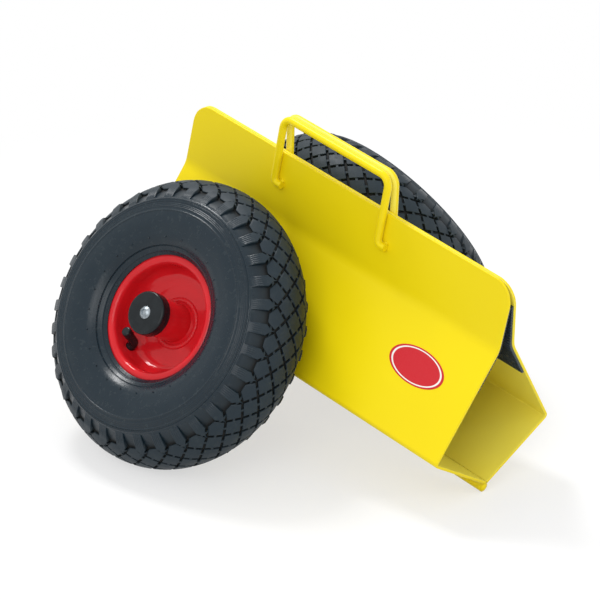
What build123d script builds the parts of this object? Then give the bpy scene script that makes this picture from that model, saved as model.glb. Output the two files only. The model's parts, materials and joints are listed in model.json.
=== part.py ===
"""Self-clamping panel cart: two bent jaw plates hinged along the bottom, on two cambered wheels.

The near half and its wheel are modelled where they stand, with the jaws closed and the cart
tipped onto the end of its hinge. The far half is their mirror image across the XZ plane.
"""
import os
from math import acos, atan2, copysign, cos, degrees, dist, hypot, pi, radians, sin, sqrt

from build123d import *

os.makedirs("parts", exist_ok=True)

# Bent plates, in millimetres and degrees
plate_length = 398
plate_thickness = 2.5
return_width = 86        # hinge axis to the outer face of the flare
flare_height = 112       # underside of the return plate to the jaw bend
jaw_height = 61
jaw_bend = 25.6
fold_radius = 1.5        # inside radius of the fold between return plate and flare
jaw_bend_radius = 20     # outer face of the soft bend between flare and jaw
corner_radius = 20       # rounded top corners of the jaw
edge_round = 0.7         # sheared edges of the sheet
closed_gap = 0.3         # between the two halves where they meet

# Hinge
barrel_diameter = 9.2
barrel_setback = 2.6     # plate end to hinge barrel end
barrel_seat = 3.2        # hinge axis to the underside of the return plate
barrel_count = 5
barrel_spacing = 0.5     # end play between neighbouring barrels
barrel_clearance = 0.3   # barrel to the edge of the opposite plate
weld_leg = 3.6
pin_diameter = 5
pin_clearance = 0.08
pin_head_diameter = 7.8
pin_head_height = 1.8

# Rubber lining of the jaw
lining_base = 1.7
lining_rib_height = 0.8
lining_rib_pitch = 2.7
lining_flare_reach = 40  # from the jaw bend down the flare
lining_end_inset = 1

# Carrying handle
rod_diameter = 7
handle_width = 132       # between the centre lines of the legs
handle_station = -19     # middle of the handle along the hinge
handle_rise = 34         # top edge of the jaw to the centre line of the bar
handle_drop = 29         # top edge of the jaw to the centre line of the feet
handle_foot = 10         # centre line of the leg to the end of its foot
handle_flat = 0.3        # depth of the flat where the feet are welded to the jaw
bar_bend_radius = 10
foot_bend_radius = 5

# Axle and what sits on it
axle_diameter = 20
axle_flat = 0.4          # depth of the flat that seats under the return plate
axle_inset = 15          # hinge axis to the inner end of the axle
axle_chamfer = 1
axle_into_cap = 6
collar_diameter = 32
axle_clearance = 0.1
wheel_end_play = 0.4
cap_diameter = 39
cap_thickness = 10.5
cap_round = 2.2
screw_diameter = 8
screw_head_diameter = 11.5
screw_head_height = 3
screw_length = 24
screw_socket = 5
screw_socket_depth = 1.8
screw_clearance = 0.2

# Wheel
wheel_station = -75      # along the hinge, from mid length
wheel_offset = 55        # outer face of the flare to the middle of the wheel
tyre_diameter = 260
tyre_width = 85
tyre_wall = 6.5
tyre_into_rim = 5.8      # rim seat to the root of the tyre's oval section
bead_toe = 16            # middle of the wheel to the toe of the bead
bead_clearance = 0.15
bead_lip_gap = 0.8       # lip of the rim to the edge of the tyre
tread_depth = 2.5
tread_groove = 1.9
tread_pitches = 34       # blocks round the wheel in each row
tread_edge_row = 3.5     # rows from the crown to the shoulder lugs
tread_row_angle = 14.3   # from row to row at the crown
tread_row_narrowing = 0.55  # less of that angle for each row towards the shoulder
tread_phase = -0.3       # turn of the whole tread from the hinge direction
crown_drop = 2.6         # fall of the diamonds below the tyre's oval at their outer edge
lug_share = 0.58         # part of a pitch that a shoulder lug takes; the rest is a notch
notch_depth = 4.2        # of the notches at their inner end
notch_end_depth = 0.8
shoulder_end = 64        # angle from the crown at which the notches run out
tube_wall = 2.5
tube_clearance = 0.4
rim_thickness = 2
rim_seat_diameter = 101.6
rim_lip_diameter = 114.4
rim_width = 58           # over both lips
rim_lip_turn = 150       # how far the lip is rolled over towards the tyre
rim_bowl_radius = 14     # bend between the floor of a dish and its well
hub_diameter = 35
hub_wall = 2.5
hub_length = 75          # over the bush flanges
hub_weld = 2.5
bush_flange = 1.5
bush_depth = 8
bush_clearance = 0.1

# Roller bearing inside the hub
roller_count = 8
roller_length = 46
roller_clearance = 0.1
cage_clearance = 0.6
cage_end = 4
cage_end_play = 0.3
pocket_clearance = 0.15

# Tyre valve
valve_diameter = 8
valve_hole_clearance = 0.5
valve_angle = 234.8      # round the wheel, from the hinge direction
valve_station = 10       # middle of the wheel to the valve hole
valve_elbow_reach = 41.7
valve_tip_reach = 37.6
valve_tip_swing = -5
valve_tip_station = 22.6
valve_bend_radius = 6
valve_cap_diameter = 9
valve_cap_length = 8
valve_cap_round = 2

# Section of one half: X outward along the return plate, Y up the flare, origin on the hinge axis
jaw_angle = radians(jaw_bend)
flare_top = barrel_seat + flare_height
top_outer = (return_width + jaw_height * sin(jaw_angle), flare_top + jaw_height * cos(jaw_angle))
top_inner = (
    top_outer[0] - plate_thickness * cos(jaw_angle),
    top_outer[1] + plate_thickness * sin(jaw_angle),
)
flare_inner = return_width - plate_thickness
bend_inner = (flare_inner, top_inner[1] - (top_inner[0] - flare_inner) * cos(jaw_angle) / sin(jaw_angle))

# Each half leans over until the inner edges of the two jaws meet in the middle
lean = acos(closed_gap / 2 / hypot(*top_inner)) - atan2(top_inner[1], top_inner[0])
jaw_lean = lean - jaw_angle

# The return plate stops at the middle, clear of the opposite half and of its barrels
barrel_radius = barrel_diameter / 2
edge_at_middle = ((barrel_seat + plate_thickness) * sin(lean) + closed_gap / 2) / cos(lean)
edge_at_barrel = sqrt(max(0, (barrel_radius + barrel_clearance) ** 2 - barrel_seat**2))
return_start = max(edge_at_middle, edge_at_barrel)

# Wheel centre in the section of its half, and its height over the hinge axis
axle_radius = axle_diameter / 2
axle_height = barrel_seat + axle_flat - axle_radius
wheel_reach = return_width + wheel_offset
wheel_rise = wheel_reach * sin(lean) + axle_height * cos(lean)

# Section of the tyre: an oval between its crown and a root inside the rim
tyre_half = tyre_width / 2
tyre_root = rim_seat_diameter / 2 - tyre_into_rim
tyre_core = (tyre_diameter / 2 + tyre_root) / 2
tyre_height = tyre_diameter / 2 - tyre_core


def tyre_extent(axial):
    """Half extent of the tyre in a direction of which this share runs along the axle."""
    radial = sqrt(1 - axial**2)
    return tyre_core * radial + hypot(tyre_half * axial, tyre_height * radial)


# The cart tips until the end of the hinge and both tyres stand on the floor
hinge_end = plate_length / 2 - barrel_setback


def tyres_over_hinge(tip):
    """Height of the tyres' lowest points over the low end of the hinge, for a tip angle."""
    tyre_low = wheel_rise * cos(tip) - wheel_station * sin(tip) - tyre_extent(sin(lean) * cos(tip))
    hinge_low = -hinge_end * sin(tip) - barrel_radius * cos(tip)
    return tyre_low - hinge_low


tip_low, tip_high = 0, radians(40)
for halving in range(48):
    tilt = (tip_low + tip_high) / 2
    if tyres_over_hinge(tilt) < 0:
        tip_low = tilt
    else:
        tip_high = tilt

# Cart directions: along the hinge to its low end, square to it in the middle plane, and across
along = Vector(cos(tilt), 0, -sin(tilt))
up = Vector(sin(tilt), 0, cos(tilt))
across = Vector(0, 1, 0)

# Near half directions: outward along its return plate, and up its flare
outward = up * sin(lean) - across * cos(lean)
rise = up * cos(lean) + across * sin(lean)

# The origin is on the floor, below the middle of the cart's length
corner_centre = top_outer[1] * cos(lean) + top_outer[0] * sin(lean) - corner_radius * cos(jaw_lean)
corner_reach = corner_radius * hypot(cos(tilt), cos(jaw_lean) * sin(tilt))
front = (plate_length / 2 - corner_radius) * cos(tilt) + corner_centre * sin(tilt) + corner_reach
edge_height = return_start * sin(lean) + barrel_seat * cos(lean)
plate_back = edge_height * sin(tilt) - plate_length / 2 * cos(tilt)
tyre_back = wheel_station * cos(tilt) + wheel_rise * sin(tilt) - tyre_extent(sin(lean) * sin(tilt))
hinge_height = hinge_end * sin(tilt) + barrel_radius * cos(tilt)
hinge_centre = Vector(-(front + min(plate_back, tyre_back)) / 2, 0, hinge_height)


def section(station=0, reach=0, height=0):
    """Plane square to the hinge, with its X outward along the return plate and Y up the flare."""
    origin = hinge_centre + along * station + outward * reach + rise * height
    return Plane(origin, x_dir=outward, z_dir=-along)


def across_axle(distance):
    """Plane square to the axle, a distance outward from the middle of the wheel."""
    centre = section(wheel_station, wheel_reach, axle_height).origin
    return Plane(centre + outward * distance, x_dir=along, z_dir=outward)


def jaw_point(station, climb, standoff):
    """Point off the jaw's outer face: along the hinge, up from the top edge, and out from the face."""
    reach = top_outer[0] + climb * sin(jaw_angle) + standoff * cos(jaw_angle)
    height = top_outer[1] + climb * cos(jaw_angle) - standoff * sin(jaw_angle)
    return section(station, reach, height).origin


def domed_head(plane, diameter, height):
    """Half profile of a domed head that stands on the plane's Y axis and rises along its X axis."""
    dome_radius = (diameter**2 / 4 + height**2) / (2 * height)
    with BuildSketch(plane) as profile:
        with BuildLine():
            Polyline((height, 0), (0, 0), (0, diameter / 2))
            RadiusArc((0, diameter / 2), (height, 0), dome_radius)
        make_face()
    return profile.sketch


wheel_section = section(wheel_station, wheel_reach, axle_height)
axle_axis = Axis(wheel_section.origin, outward)
near_pieces = {}

# Jaw plate: return plate, flare and jaw, folded from one sheet
with BuildPart() as jaw_plate:
    with BuildSketch(section()):
        with BuildLine():
            FilletPolyline(
                (return_start, barrel_seat),
                (return_width, barrel_seat),
                (return_width, flare_top),
                top_outer,
                radius=[fold_radius + plate_thickness, jaw_bend_radius],
            )
            offset(amount=plate_thickness, side=Side.LEFT)
        make_face()
    extrude(amount=plate_length / 2, both=True)
    sheet_edges = jaw_plate.edges().filter_by(lambda edge: abs(edge.length - plate_thickness) < 0.001)
    fillet(sheet_edges.sort_by(Axis(hinge_centre, rise))[-2:], radius=corner_radius)
    hinge_axis = Axis(hinge_centre, along)
    end_edges = jaw_plate.edges().filter_by(hinge_axis, reverse=True)
    end_edges = end_edges.filter_by(lambda edge: abs(edge.length - plate_thickness) > 0.001)
    top_edges = jaw_plate.edges().filter_by(hinge_axis).sort_by(Axis(hinge_centre, rise))[-2:]
    fillet(end_edges + top_edges, radius=edge_round)
near_pieces["jaw_plate"] = jaw_plate

# Rubber lining: a ribbed strip round the inside of the jaw bend
lining_thickness = lining_base + lining_rib_height
lining_drop = lining_thickness * cos(jaw_lean) / sin(jaw_lean)
lining_top = (top_inner[0] - lining_drop * sin(jaw_angle), top_inner[1] - lining_drop * cos(jaw_angle))
lining_foot = (flare_inner, bend_inner[1] - lining_flare_reach)
lining_bend_radius = jaw_bend_radius + plate_thickness
rib_line = FilletPolyline(
    lining_foot, bend_inner, lining_top, radius=lining_bend_radius, mode=Mode.PRIVATE
).offset_2d(lining_base, side=Side.LEFT, closed=False)
rib_count = int(rib_line.length / lining_rib_pitch)
rib_places = [rib_line @ ((rib + 0.5) / rib_count) for rib in range(rib_count)]
with BuildPart() as rubber_lining:
    with BuildSketch(section()):
        with BuildLine():
            FilletPolyline(lining_foot, bend_inner, lining_top, radius=lining_bend_radius)
            offset(amount=lining_base, side=Side.LEFT)
        make_face()
        with Locations(*rib_places):
            Circle(lining_rib_height)
    extrude(amount=plate_length / 2 - lining_end_inset, both=True)
near_pieces["rubber_lining"] = rubber_lining

# Handle: one round bar, with its feet bent along the jaw and welded there
rod_radius = rod_diameter / 2
top_side = top_outer[1] * sin(lean) - top_outer[0] * cos(lean)
bar_standoff = (top_side + handle_rise * sin(jaw_lean) + rod_radius + closed_gap / 2) / cos(jaw_lean)
foot_standoff = rod_radius - handle_flat
left_leg = handle_station - handle_width / 2
right_leg = handle_station + handle_width / 2
with BuildPart() as handle:
    with BuildLine() as handle_line:
        FilletPolyline(
            jaw_point(left_leg + handle_foot, -handle_drop, foot_standoff),
            jaw_point(left_leg, -handle_drop, foot_standoff),
            jaw_point(left_leg, handle_rise, bar_standoff),
            jaw_point(right_leg, handle_rise, bar_standoff),
            jaw_point(right_leg, -handle_drop, foot_standoff),
            jaw_point(right_leg + handle_foot, -handle_drop, foot_standoff),
            radius=[foot_bend_radius, bar_bend_radius, bar_bend_radius, foot_bend_radius],
        )
    with BuildSketch(Plane(handle_line.line @ 0, z_dir=handle_line.line % 0)):
        Circle(rod_radius)
    sweep()
    jaw_face = Plane(jaw_point(0, 0, 0), x_dir=along, z_dir=outward * cos(jaw_angle) - rise * sin(jaw_angle))
    split(bisect_by=jaw_face, keep=Keep.TOP)
near_pieces["handle"] = handle

# Axle: a round bar with a flat, welded under the return plate
cap_face = hub_length / 2 + wheel_end_play
axle_end = cap_face + axle_into_cap
axle_start = axle_inset - wheel_reach
with BuildPart() as axle:
    with BuildSketch(wheel_section):
        with BuildLine():
            Polyline(
                (axle_start, 0),
                (axle_start, axle_radius - axle_chamfer),
                (axle_start + axle_chamfer, axle_radius),
                (axle_end - axle_chamfer, axle_radius),
                (axle_end, axle_radius - axle_chamfer),
                (axle_end, 0),
                close=True,
            )
        make_face()
    revolve(axis=axle_axis)
    with BuildSketch(across_axle(axle_start).offset(-axle_chamfer)):
        with Locations((0, axle_radius)):
            Rectangle(axle_diameter, 2 * axle_flat)
    extrude(amount=return_width - axle_inset + axle_chamfer, mode=Mode.SUBTRACT)
    with BuildSketch(across_axle(axle_end)):
        Circle(screw_diameter / 2)
    extrude(amount=-screw_length, mode=Mode.SUBTRACT)
near_pieces["axle"] = axle

# Collar: spaces the wheel off the flare
with BuildPart() as axle_collar:
    with BuildSketch(across_axle(-wheel_offset)):
        Circle(collar_diameter / 2)
        Circle(axle_radius + axle_clearance, mode=Mode.SUBTRACT)
    extrude(amount=wheel_offset - cap_face)
near_pieces["axle_collar"] = axle_collar

# End cap: a moulded disc over the end of the axle, which keeps the wheel on
cap_radius = cap_diameter / 2
with BuildPart() as end_cap:
    with BuildSketch(across_axle(cap_face)):
        Circle(cap_radius)
    extrude(amount=cap_thickness)
    fillet(end_cap.faces().sort_by(axle_axis)[-1].edges(), radius=cap_round)
    with BuildSketch(across_axle(cap_face)):
        Circle(axle_radius + axle_clearance)
    extrude(amount=axle_into_cap, mode=Mode.SUBTRACT)
    with BuildSketch(across_axle(cap_face)):
        Circle(screw_diameter / 2 + screw_clearance)
    extrude(amount=cap_thickness, mode=Mode.SUBTRACT)
near_pieces["end_cap"] = end_cap

# End screw: a domed head with a hexagon socket
head_foot = cap_face + cap_thickness
with BuildPart() as end_screw:
    with BuildSketch(across_axle(head_foot)):
        Circle(screw_diameter / 2 - screw_clearance)
    extrude(amount=-screw_length)
    head_plane = section(wheel_station, wheel_reach + head_foot, axle_height)
    revolve(domed_head(head_plane, screw_head_diameter, screw_head_height), axis=axle_axis)
    with BuildSketch(across_axle(head_foot + screw_head_height)):
        RegularPolygon(screw_socket / 2, 6, major_radius=False)
    extrude(amount=-screw_socket_depth, mode=Mode.SUBTRACT)
near_pieces["end_screw"] = end_screw

# Tyre: an oval carcass seated in the rim, with diamond blocks on its crown and lugs on its shoulders
rim_half = rim_width / 2
seat_radius = rim_seat_diameter / 2
well_radius = seat_radius - rim_thickness
lip_radius = rim_lip_diameter / 2
lip_roll = (lip_radius - well_radius) / (1 - cos(radians(rim_lip_turn)))
well_station = rim_half - lip_roll
bead_radius = seat_radius + bead_clearance
bead_heel = well_station - bead_clearance
ledge_radius = lip_radius + bead_lip_gap
ledge_angle = degrees(acos((ledge_radius - tyre_core) / tyre_height))
cavity_angle = degrees(acos((ledge_radius - tyre_core) / (tyre_height - tyre_wall)))
block_root = (notch_depth + tyre_wall) / 2


def tyre_point(angle, depth=0):
    """Point of the tyre's section: angle from the crown to the outside, and depth below the surface."""
    turn = radians(angle)
    return ((tyre_half - depth) * sin(turn), tyre_core + (tyre_height - depth) * cos(turn))


def tyre_arc(start, end, depth=0):
    """Arc of the tyre's section from one angle to another, at a depth below the surface."""
    radii = (tyre_half - depth, tyre_height - depth)
    return EllipticalCenterArc((0, tyre_core), *radii, 90 - start, arc_size=start - end)


def row_angle(row):
    """Angle from the crown to the middle of a row of blocks. Rows get narrower towards the shoulder."""
    return row * (tread_row_angle - tread_row_narrowing * abs(row))


def row_point(row):
    """Point of the section in the middle of a row of blocks."""
    return tyre_point(row_angle(row))


def block_plane(row):
    """Plane that touches the tread at a block, with its X round the wheel and Y to the outside along Z."""
    station, radius = row_point(row)
    turn = radians(tread_phase + 180 / tread_pitches * ((tread_edge_row + row + 1) % 2))
    spoke = Vector(cos(turn), sin(turn))
    leaning_out = Vector(0, 0, station * tyre_height / tyre_half)
    leaning_up = spoke * ((radius - tyre_core) * tyre_half / tyre_height)
    round_wheel = Vector(-sin(turn), cos(turn))
    return Plane(spoke * radius + Vector(0, 0, station), x_dir=round_wheel, z_dir=leaning_out + leaning_up)


def block_outline(row):
    """Corners of a block, from groove middle to groove middle: a diamond, or a lug on the shoulder."""
    side = copysign(1, row)
    half_pitch = pi * row_point(row)[1] / tread_pitches
    to_crown = -side * dist(row_point(row), row_point(row - side))
    to_edge = side * dist(row_point(row), row_point(row + side))
    if abs(row) == tread_edge_row:
        half_lug = half_pitch * lug_share
        half_end = pi * tyre_point(shoulder_end)[1] / tread_pitches * lug_share
        outer = ((half_end, 2 * to_edge), (-half_end, 2 * to_edge))
        return ((0, to_crown), (half_lug, 0), *outer, (-half_lug, 0))
    if abs(row) + 1 == tread_edge_row:
        half_notch = half_pitch * (1 - lug_share)
        outer = ((half_notch, to_edge), (-half_notch, to_edge))
        return ((0, to_crown), (half_pitch, 0), *outer, (-half_pitch, 0))
    return ((0, to_crown), (half_pitch, 0), (0, to_edge), (-half_pitch, 0))


edge_angle = row_angle(tread_edge_row)
tread_section = Plane((0, 0, 0), x_dir=(0, 0, 1), z_dir=(0, 1, 0))

# Diamonds of one pitch, about the Z axis, cut to the round of the crown
with BuildPart() as diamonds:
    for step in range(1, int(2 * tread_edge_row)):
        row = step - tread_edge_row
        with BuildSketch(block_plane(row)):
            Polygon(*block_outline(row), align=None)
            offset(amount=-tread_groove / 2, kind=Kind.INTERSECTION, mode=Mode.REPLACE)
        extrude(amount=-block_root)
    with BuildSketch(tread_section):
        with BuildLine():
            crown_ends = [tyre_point(side * edge_angle, crown_drop) for side in (-1, 1)]
            ThreePointArc(crown_ends[0], tyre_point(0), crown_ends[1])
            tyre_arc(-edge_angle, edge_angle, tyre_wall)
            for side in (-1, 1):
                Line(tyre_point(side * edge_angle, crown_drop), tyre_point(side * edge_angle, tyre_wall))
        make_face()
    revolve(axis=Axis.Z, mode=Mode.INTERSECT)

# Shoulder lugs of one pitch, cut to the tyre's oval
with BuildPart() as lugs:
    for row in (-tread_edge_row, tread_edge_row):
        with BuildSketch(block_plane(row)):
            Polygon(*block_outline(row), align=None)
            offset(amount=-tread_groove / 2, kind=Kind.INTERSECTION, mode=Mode.REPLACE)
        extrude(amount=-block_root)
    with BuildSketch(tread_section):
        with BuildLine():
            tyre_arc(-shoulder_end, shoulder_end)
            tyre_arc(-shoulder_end, shoulder_end, tyre_wall)
            for side in (-1, 1):
                Line(tyre_point(side * shoulder_end), tyre_point(side * shoulder_end, tyre_wall))
        make_face()
    revolve(axis=Axis.Z, mode=Mode.INTERSECT)

with BuildPart() as tyre:
    with BuildSketch(wheel_section):
        with BuildLine():
            floor_ends = [tyre_point(side * edge_angle, notch_depth) for side in (-1, 1)]
            ThreePointArc(floor_ends[0], tyre_point(0, tread_depth), floor_ends[1])
            tyre_arc(-cavity_angle, cavity_angle, tyre_wall)
            for side in (-1, 1):
                Polyline(
                    tyre_point(side * edge_angle, notch_depth),
                    tyre_point(side * shoulder_end, notch_end_depth),
                    tyre_point(side * shoulder_end),
                )
                tyre_arc(side * shoulder_end, side * ledge_angle)
                Polyline(
                    tyre_point(side * ledge_angle),
                    (side * bead_heel, ledge_radius),
                    (side * bead_heel, bead_radius),
                    (side * bead_toe, bead_radius),
                    tyre_point(side * cavity_angle, tyre_wall),
                )
        make_face()
    revolve(axis=axle_axis)
    with Locations(across_axle(0).location):
        with PolarLocations(0, tread_pitches):
            add(diamonds.part)
            add(lugs.part)
near_pieces["tyre"] = tyre

# Inner tube: a thin air tube that fills the tyre
tube_half = tyre_half - tyre_wall - tube_clearance
tube_height = tyre_height - tyre_wall - tube_clearance
with BuildPart() as inner_tube:
    with BuildSketch(wheel_section):
        with Locations((0, tyre_core)):
            Ellipse(tube_half, tube_height)
            Ellipse(tube_half - tube_wall, tube_height - tube_wall, mode=Mode.SUBTRACT)
    revolve(axis=axle_axis)
near_pieces["inner_tube"] = inner_tube

# Valve line: in through the well of the rim, then bent towards the outside of the wheel
valve_plane = across_axle(0)


def valve_point(angle, reach, station):
    """Point round the wheel: angle from the hinge direction, distance from the axle, and place along it."""
    turn = radians(angle)
    return valve_plane.from_local_coords(Vector(reach * cos(turn), reach * sin(turn), station))


valve_radius = valve_diameter / 2
tube_surface = tyre_core - tube_height * sqrt(1 - ((valve_station - valve_radius) / tube_half) ** 2)
valve_root = valve_point(valve_angle, tube_surface - tube_clearance, valve_station)
valve_elbow = valve_point(valve_angle, valve_elbow_reach, valve_station)
valve_tip = valve_point(valve_angle + valve_tip_swing, valve_tip_reach, valve_tip_station)

# Rim: two pressed dishes, back to back in the middle of the wheel
hub_radius = hub_diameter / 2


def pressed_dish(plane):
    """Profile of one dish from the hub to its rolled lip, thickened towards the tyre."""
    with BuildSketch(plane) as profile:
        with BuildLine():
            FilletPolyline(
                (rim_thickness, hub_radius),
                (rim_thickness, well_radius),
                (well_station, well_radius),
                radius=rim_bowl_radius,
            )
            JernArc((well_station, well_radius), (1, 0), lip_roll, rim_lip_turn)
            offset(amount=rim_thickness, side=Side.LEFT)
        make_face()
    return profile.sketch


with BuildPart() as rim_outer:
    revolve(pressed_dish(wheel_section), axis=axle_axis)
    with BuildSketch(Plane(valve_elbow, z_dir=valve_root - valve_elbow)):
        Circle(valve_radius + valve_hole_clearance)
    extrude(amount=tube_surface - valve_elbow_reach, mode=Mode.SUBTRACT)
near_pieces["rim_outer"] = rim_outer

with BuildPart() as rim_inner:
    revolve(pressed_dish(Plane(wheel_section.origin, x_dir=-outward, z_dir=along)), axis=axle_axis)
near_pieces["rim_inner"] = rim_inner

# Hub tube, with a weld bead in the corner of each dish
hub_bore = hub_radius - hub_wall
tube_half = hub_length / 2 - bush_flange
with BuildPart() as hub:
    with BuildSketch(wheel_section):
        with BuildLine():
            Polyline(
                (-tube_half, hub_bore),
                (tube_half, hub_bore),
                (tube_half, hub_radius),
                (rim_thickness + hub_weld, hub_radius),
                (rim_thickness, hub_radius + hub_weld),
                (rim_thickness, hub_radius),
                (-rim_thickness, hub_radius),
                (-rim_thickness, hub_radius + hub_weld),
                (-rim_thickness - hub_weld, hub_radius),
                (-tube_half, hub_radius),
                close=True,
            )
        make_face()
    revolve(axis=axle_axis)
near_pieces["hub"] = hub

# Hub bushes: flanged end bushes that close the bearing
with BuildPart() as hub_bushes:
    for side in (outward, -outward):
        bush_plane = Plane(wheel_section.origin + side * tube_half, x_dir=along, z_dir=side)
        with BuildSketch(bush_plane):
            Circle(hub_radius)
            Circle(axle_radius + bush_clearance, mode=Mode.SUBTRACT)
        extrude(amount=bush_flange)
        with BuildSketch(bush_plane):
            Circle(hub_bore)
            Circle(axle_radius + bush_clearance, mode=Mode.SUBTRACT)
        extrude(amount=-bush_depth)
near_pieces["hub_bushes"] = hub_bushes

# Rollers and their cage, running between the axle and the hub
roller_circle = (hub_bore + axle_radius) / 2
roller_radius = (hub_bore - axle_radius) / 2 - roller_clearance
with BuildPart() as bearing_rollers:
    with BuildSketch(across_axle(-roller_length / 2)):
        with PolarLocations(roller_circle, roller_count):
            Circle(roller_radius)
    extrude(amount=roller_length)
near_pieces["bearing_rollers"] = bearing_rollers

cage_half = roller_length / 2 + cage_end_play + cage_end
pocket_half = roller_length / 2 + cage_end_play
with BuildPart() as bearing_cage:
    with BuildSketch(across_axle(-cage_half)):
        Circle(hub_bore - cage_clearance)
        Circle(axle_radius + cage_clearance, mode=Mode.SUBTRACT)
    extrude(amount=2 * cage_half)
    with BuildSketch(across_axle(-pocket_half)):
        with PolarLocations(roller_circle, roller_count):
            Circle(roller_radius + pocket_clearance)
    extrude(amount=2 * pocket_half, mode=Mode.SUBTRACT)
near_pieces["bearing_cage"] = bearing_cage

# Valve stem and its cap
with BuildPart() as valve_stem:
    with BuildLine() as valve_line:
        FilletPolyline(valve_root, valve_elbow, valve_tip, radius=valve_bend_radius)
    with BuildSketch(Plane(valve_line.line @ 0, z_dir=valve_line.line % 0)):
        Circle(valve_radius)
    sweep()
near_pieces["valve_stem"] = valve_stem

with BuildPart() as valve_cap:
    with BuildSketch(Plane(valve_tip, z_dir=valve_line.line % 1)):
        Circle(valve_cap_diameter / 2)
    extrude(amount=valve_cap_length)
    fillet(valve_cap.faces().sort_by(axle_axis)[-1].edges(), radius=valve_cap_round)
near_pieces["valve_cap"] = valve_cap

# Near pieces, and the far half as their mirror images
for name, piece in near_pieces.items():
    piece.part.label = f"near_{name}"
    export_step(piece.part, f"parts/near_{name}.step")
    with BuildPart() as far_piece:
        mirror(piece.part, about=Plane.XZ)
    far_piece.part.label = f"far_{name}"
    export_step(far_piece.part, f"parts/far_{name}.step")

# Hinge barrels: short tubes under the return plates, by turns welded to one half and the other
barrel_length = (2 * hinge_end - (barrel_count - 1) * barrel_spacing) / barrel_count
pin_radius = pin_diameter / 2
hinge_barrels = []
for first in (0, 1):
    with BuildPart() as barrel_row:
        for place in range(first, barrel_count, 2):
            with BuildSketch(section(hinge_end - place * (barrel_length + barrel_spacing))):
                Circle(barrel_radius)
                with BuildLine():
                    Polyline(
                        (0, barrel_seat),
                        (barrel_radius + weld_leg, barrel_seat),
                        (barrel_radius, 0),
                        (0, 0),
                        close=True,
                    )
                make_face()
                Circle(pin_radius + pin_clearance, mode=Mode.SUBTRACT)
            extrude(amount=barrel_length)
    hinge_barrels.append(barrel_row)

near_hinge_barrels, far_row = hinge_barrels
near_hinge_barrels.part.label = "near_hinge_barrels"
export_step(near_hinge_barrels.part, "parts/near_hinge_barrels.step")
with BuildPart() as far_hinge_barrels:
    mirror(far_row.part, about=Plane.XZ)
far_hinge_barrels.part.label = "far_hinge_barrels"
export_step(far_hinge_barrels.part, "parts/far_hinge_barrels.step")

# Hinge pin: one rod through all the barrels, headed at both ends
with BuildPart() as hinge_pin:
    with BuildSketch(section(hinge_end)):
        Circle(pin_radius)
    extrude(amount=2 * hinge_end)
    for end in (along, -along):
        head_plane = Plane(hinge_centre + end * hinge_end, x_dir=end, z_dir=across)
        revolve(domed_head(head_plane, pin_head_diameter, pin_head_height), axis=hinge_axis)
hinge_pin.part.label = "hinge_pin"
export_step(hinge_pin.part, "parts/hinge_pin.step")

print(f"lean {degrees(lean):.4f} deg, tilt {degrees(tilt):.4f} deg")
print("hinge centre", tuple(hinge_centre), "direction", tuple(along))
print("near wheel centre", tuple(wheel_section.origin), "direction", tuple(outward))
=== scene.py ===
"""Dressed model of the panel cart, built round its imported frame.

The frame's pieces get their finishes, the tyres are replaced by moulded ones with their full tread, and the
weld beads and the blank oval badge are added. All lengths are in metres.
"""
import json
import logging
import math
from dataclasses import astuple, dataclass, field, replace
from enum import Enum, IntEnum
from typing import Any, Mapping, Sequence, Union

import bpy
import numpy as np
from mathutils import Matrix, Vector


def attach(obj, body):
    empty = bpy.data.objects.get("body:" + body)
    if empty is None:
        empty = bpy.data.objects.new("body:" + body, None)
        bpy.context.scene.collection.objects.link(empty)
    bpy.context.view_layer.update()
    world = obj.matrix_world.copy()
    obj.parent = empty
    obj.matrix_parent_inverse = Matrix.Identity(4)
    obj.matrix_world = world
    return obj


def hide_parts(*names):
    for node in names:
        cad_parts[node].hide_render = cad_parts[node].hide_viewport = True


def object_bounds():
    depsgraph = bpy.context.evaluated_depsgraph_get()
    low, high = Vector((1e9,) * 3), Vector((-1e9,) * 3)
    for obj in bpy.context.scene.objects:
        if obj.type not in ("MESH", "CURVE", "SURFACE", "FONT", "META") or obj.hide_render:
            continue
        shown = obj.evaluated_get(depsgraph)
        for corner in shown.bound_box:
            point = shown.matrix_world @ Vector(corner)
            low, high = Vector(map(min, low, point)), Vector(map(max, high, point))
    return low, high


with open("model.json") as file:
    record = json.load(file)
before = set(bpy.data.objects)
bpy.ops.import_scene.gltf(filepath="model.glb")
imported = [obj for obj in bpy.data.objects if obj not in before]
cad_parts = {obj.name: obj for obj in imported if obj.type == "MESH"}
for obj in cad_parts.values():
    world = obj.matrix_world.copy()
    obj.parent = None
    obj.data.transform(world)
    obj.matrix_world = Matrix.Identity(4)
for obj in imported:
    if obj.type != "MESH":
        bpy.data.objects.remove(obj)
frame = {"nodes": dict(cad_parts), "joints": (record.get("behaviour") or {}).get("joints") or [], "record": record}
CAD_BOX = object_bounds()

LOG = logging.getLogger("panel_cart")
MM = 0.001
FULL_TURN = 2 * math.pi
SAME_TURN = 1e-9
MID_NOISE = 0.5
EDGE_SAMPLES = 6
IMAGE_SIDE = 600
SENSOR_WIDTH = 36.0
Colour = tuple[float, float, float]
Profile = tuple[tuple[float, float], ...]
Values = Union[np.ndarray, float]


def even_turns(count: int) -> np.ndarray:
    """Angles of evenly spaced places round a full turn, from 0."""
    return np.arange(count) * FULL_TURN / count


# Shader graphs


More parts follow.
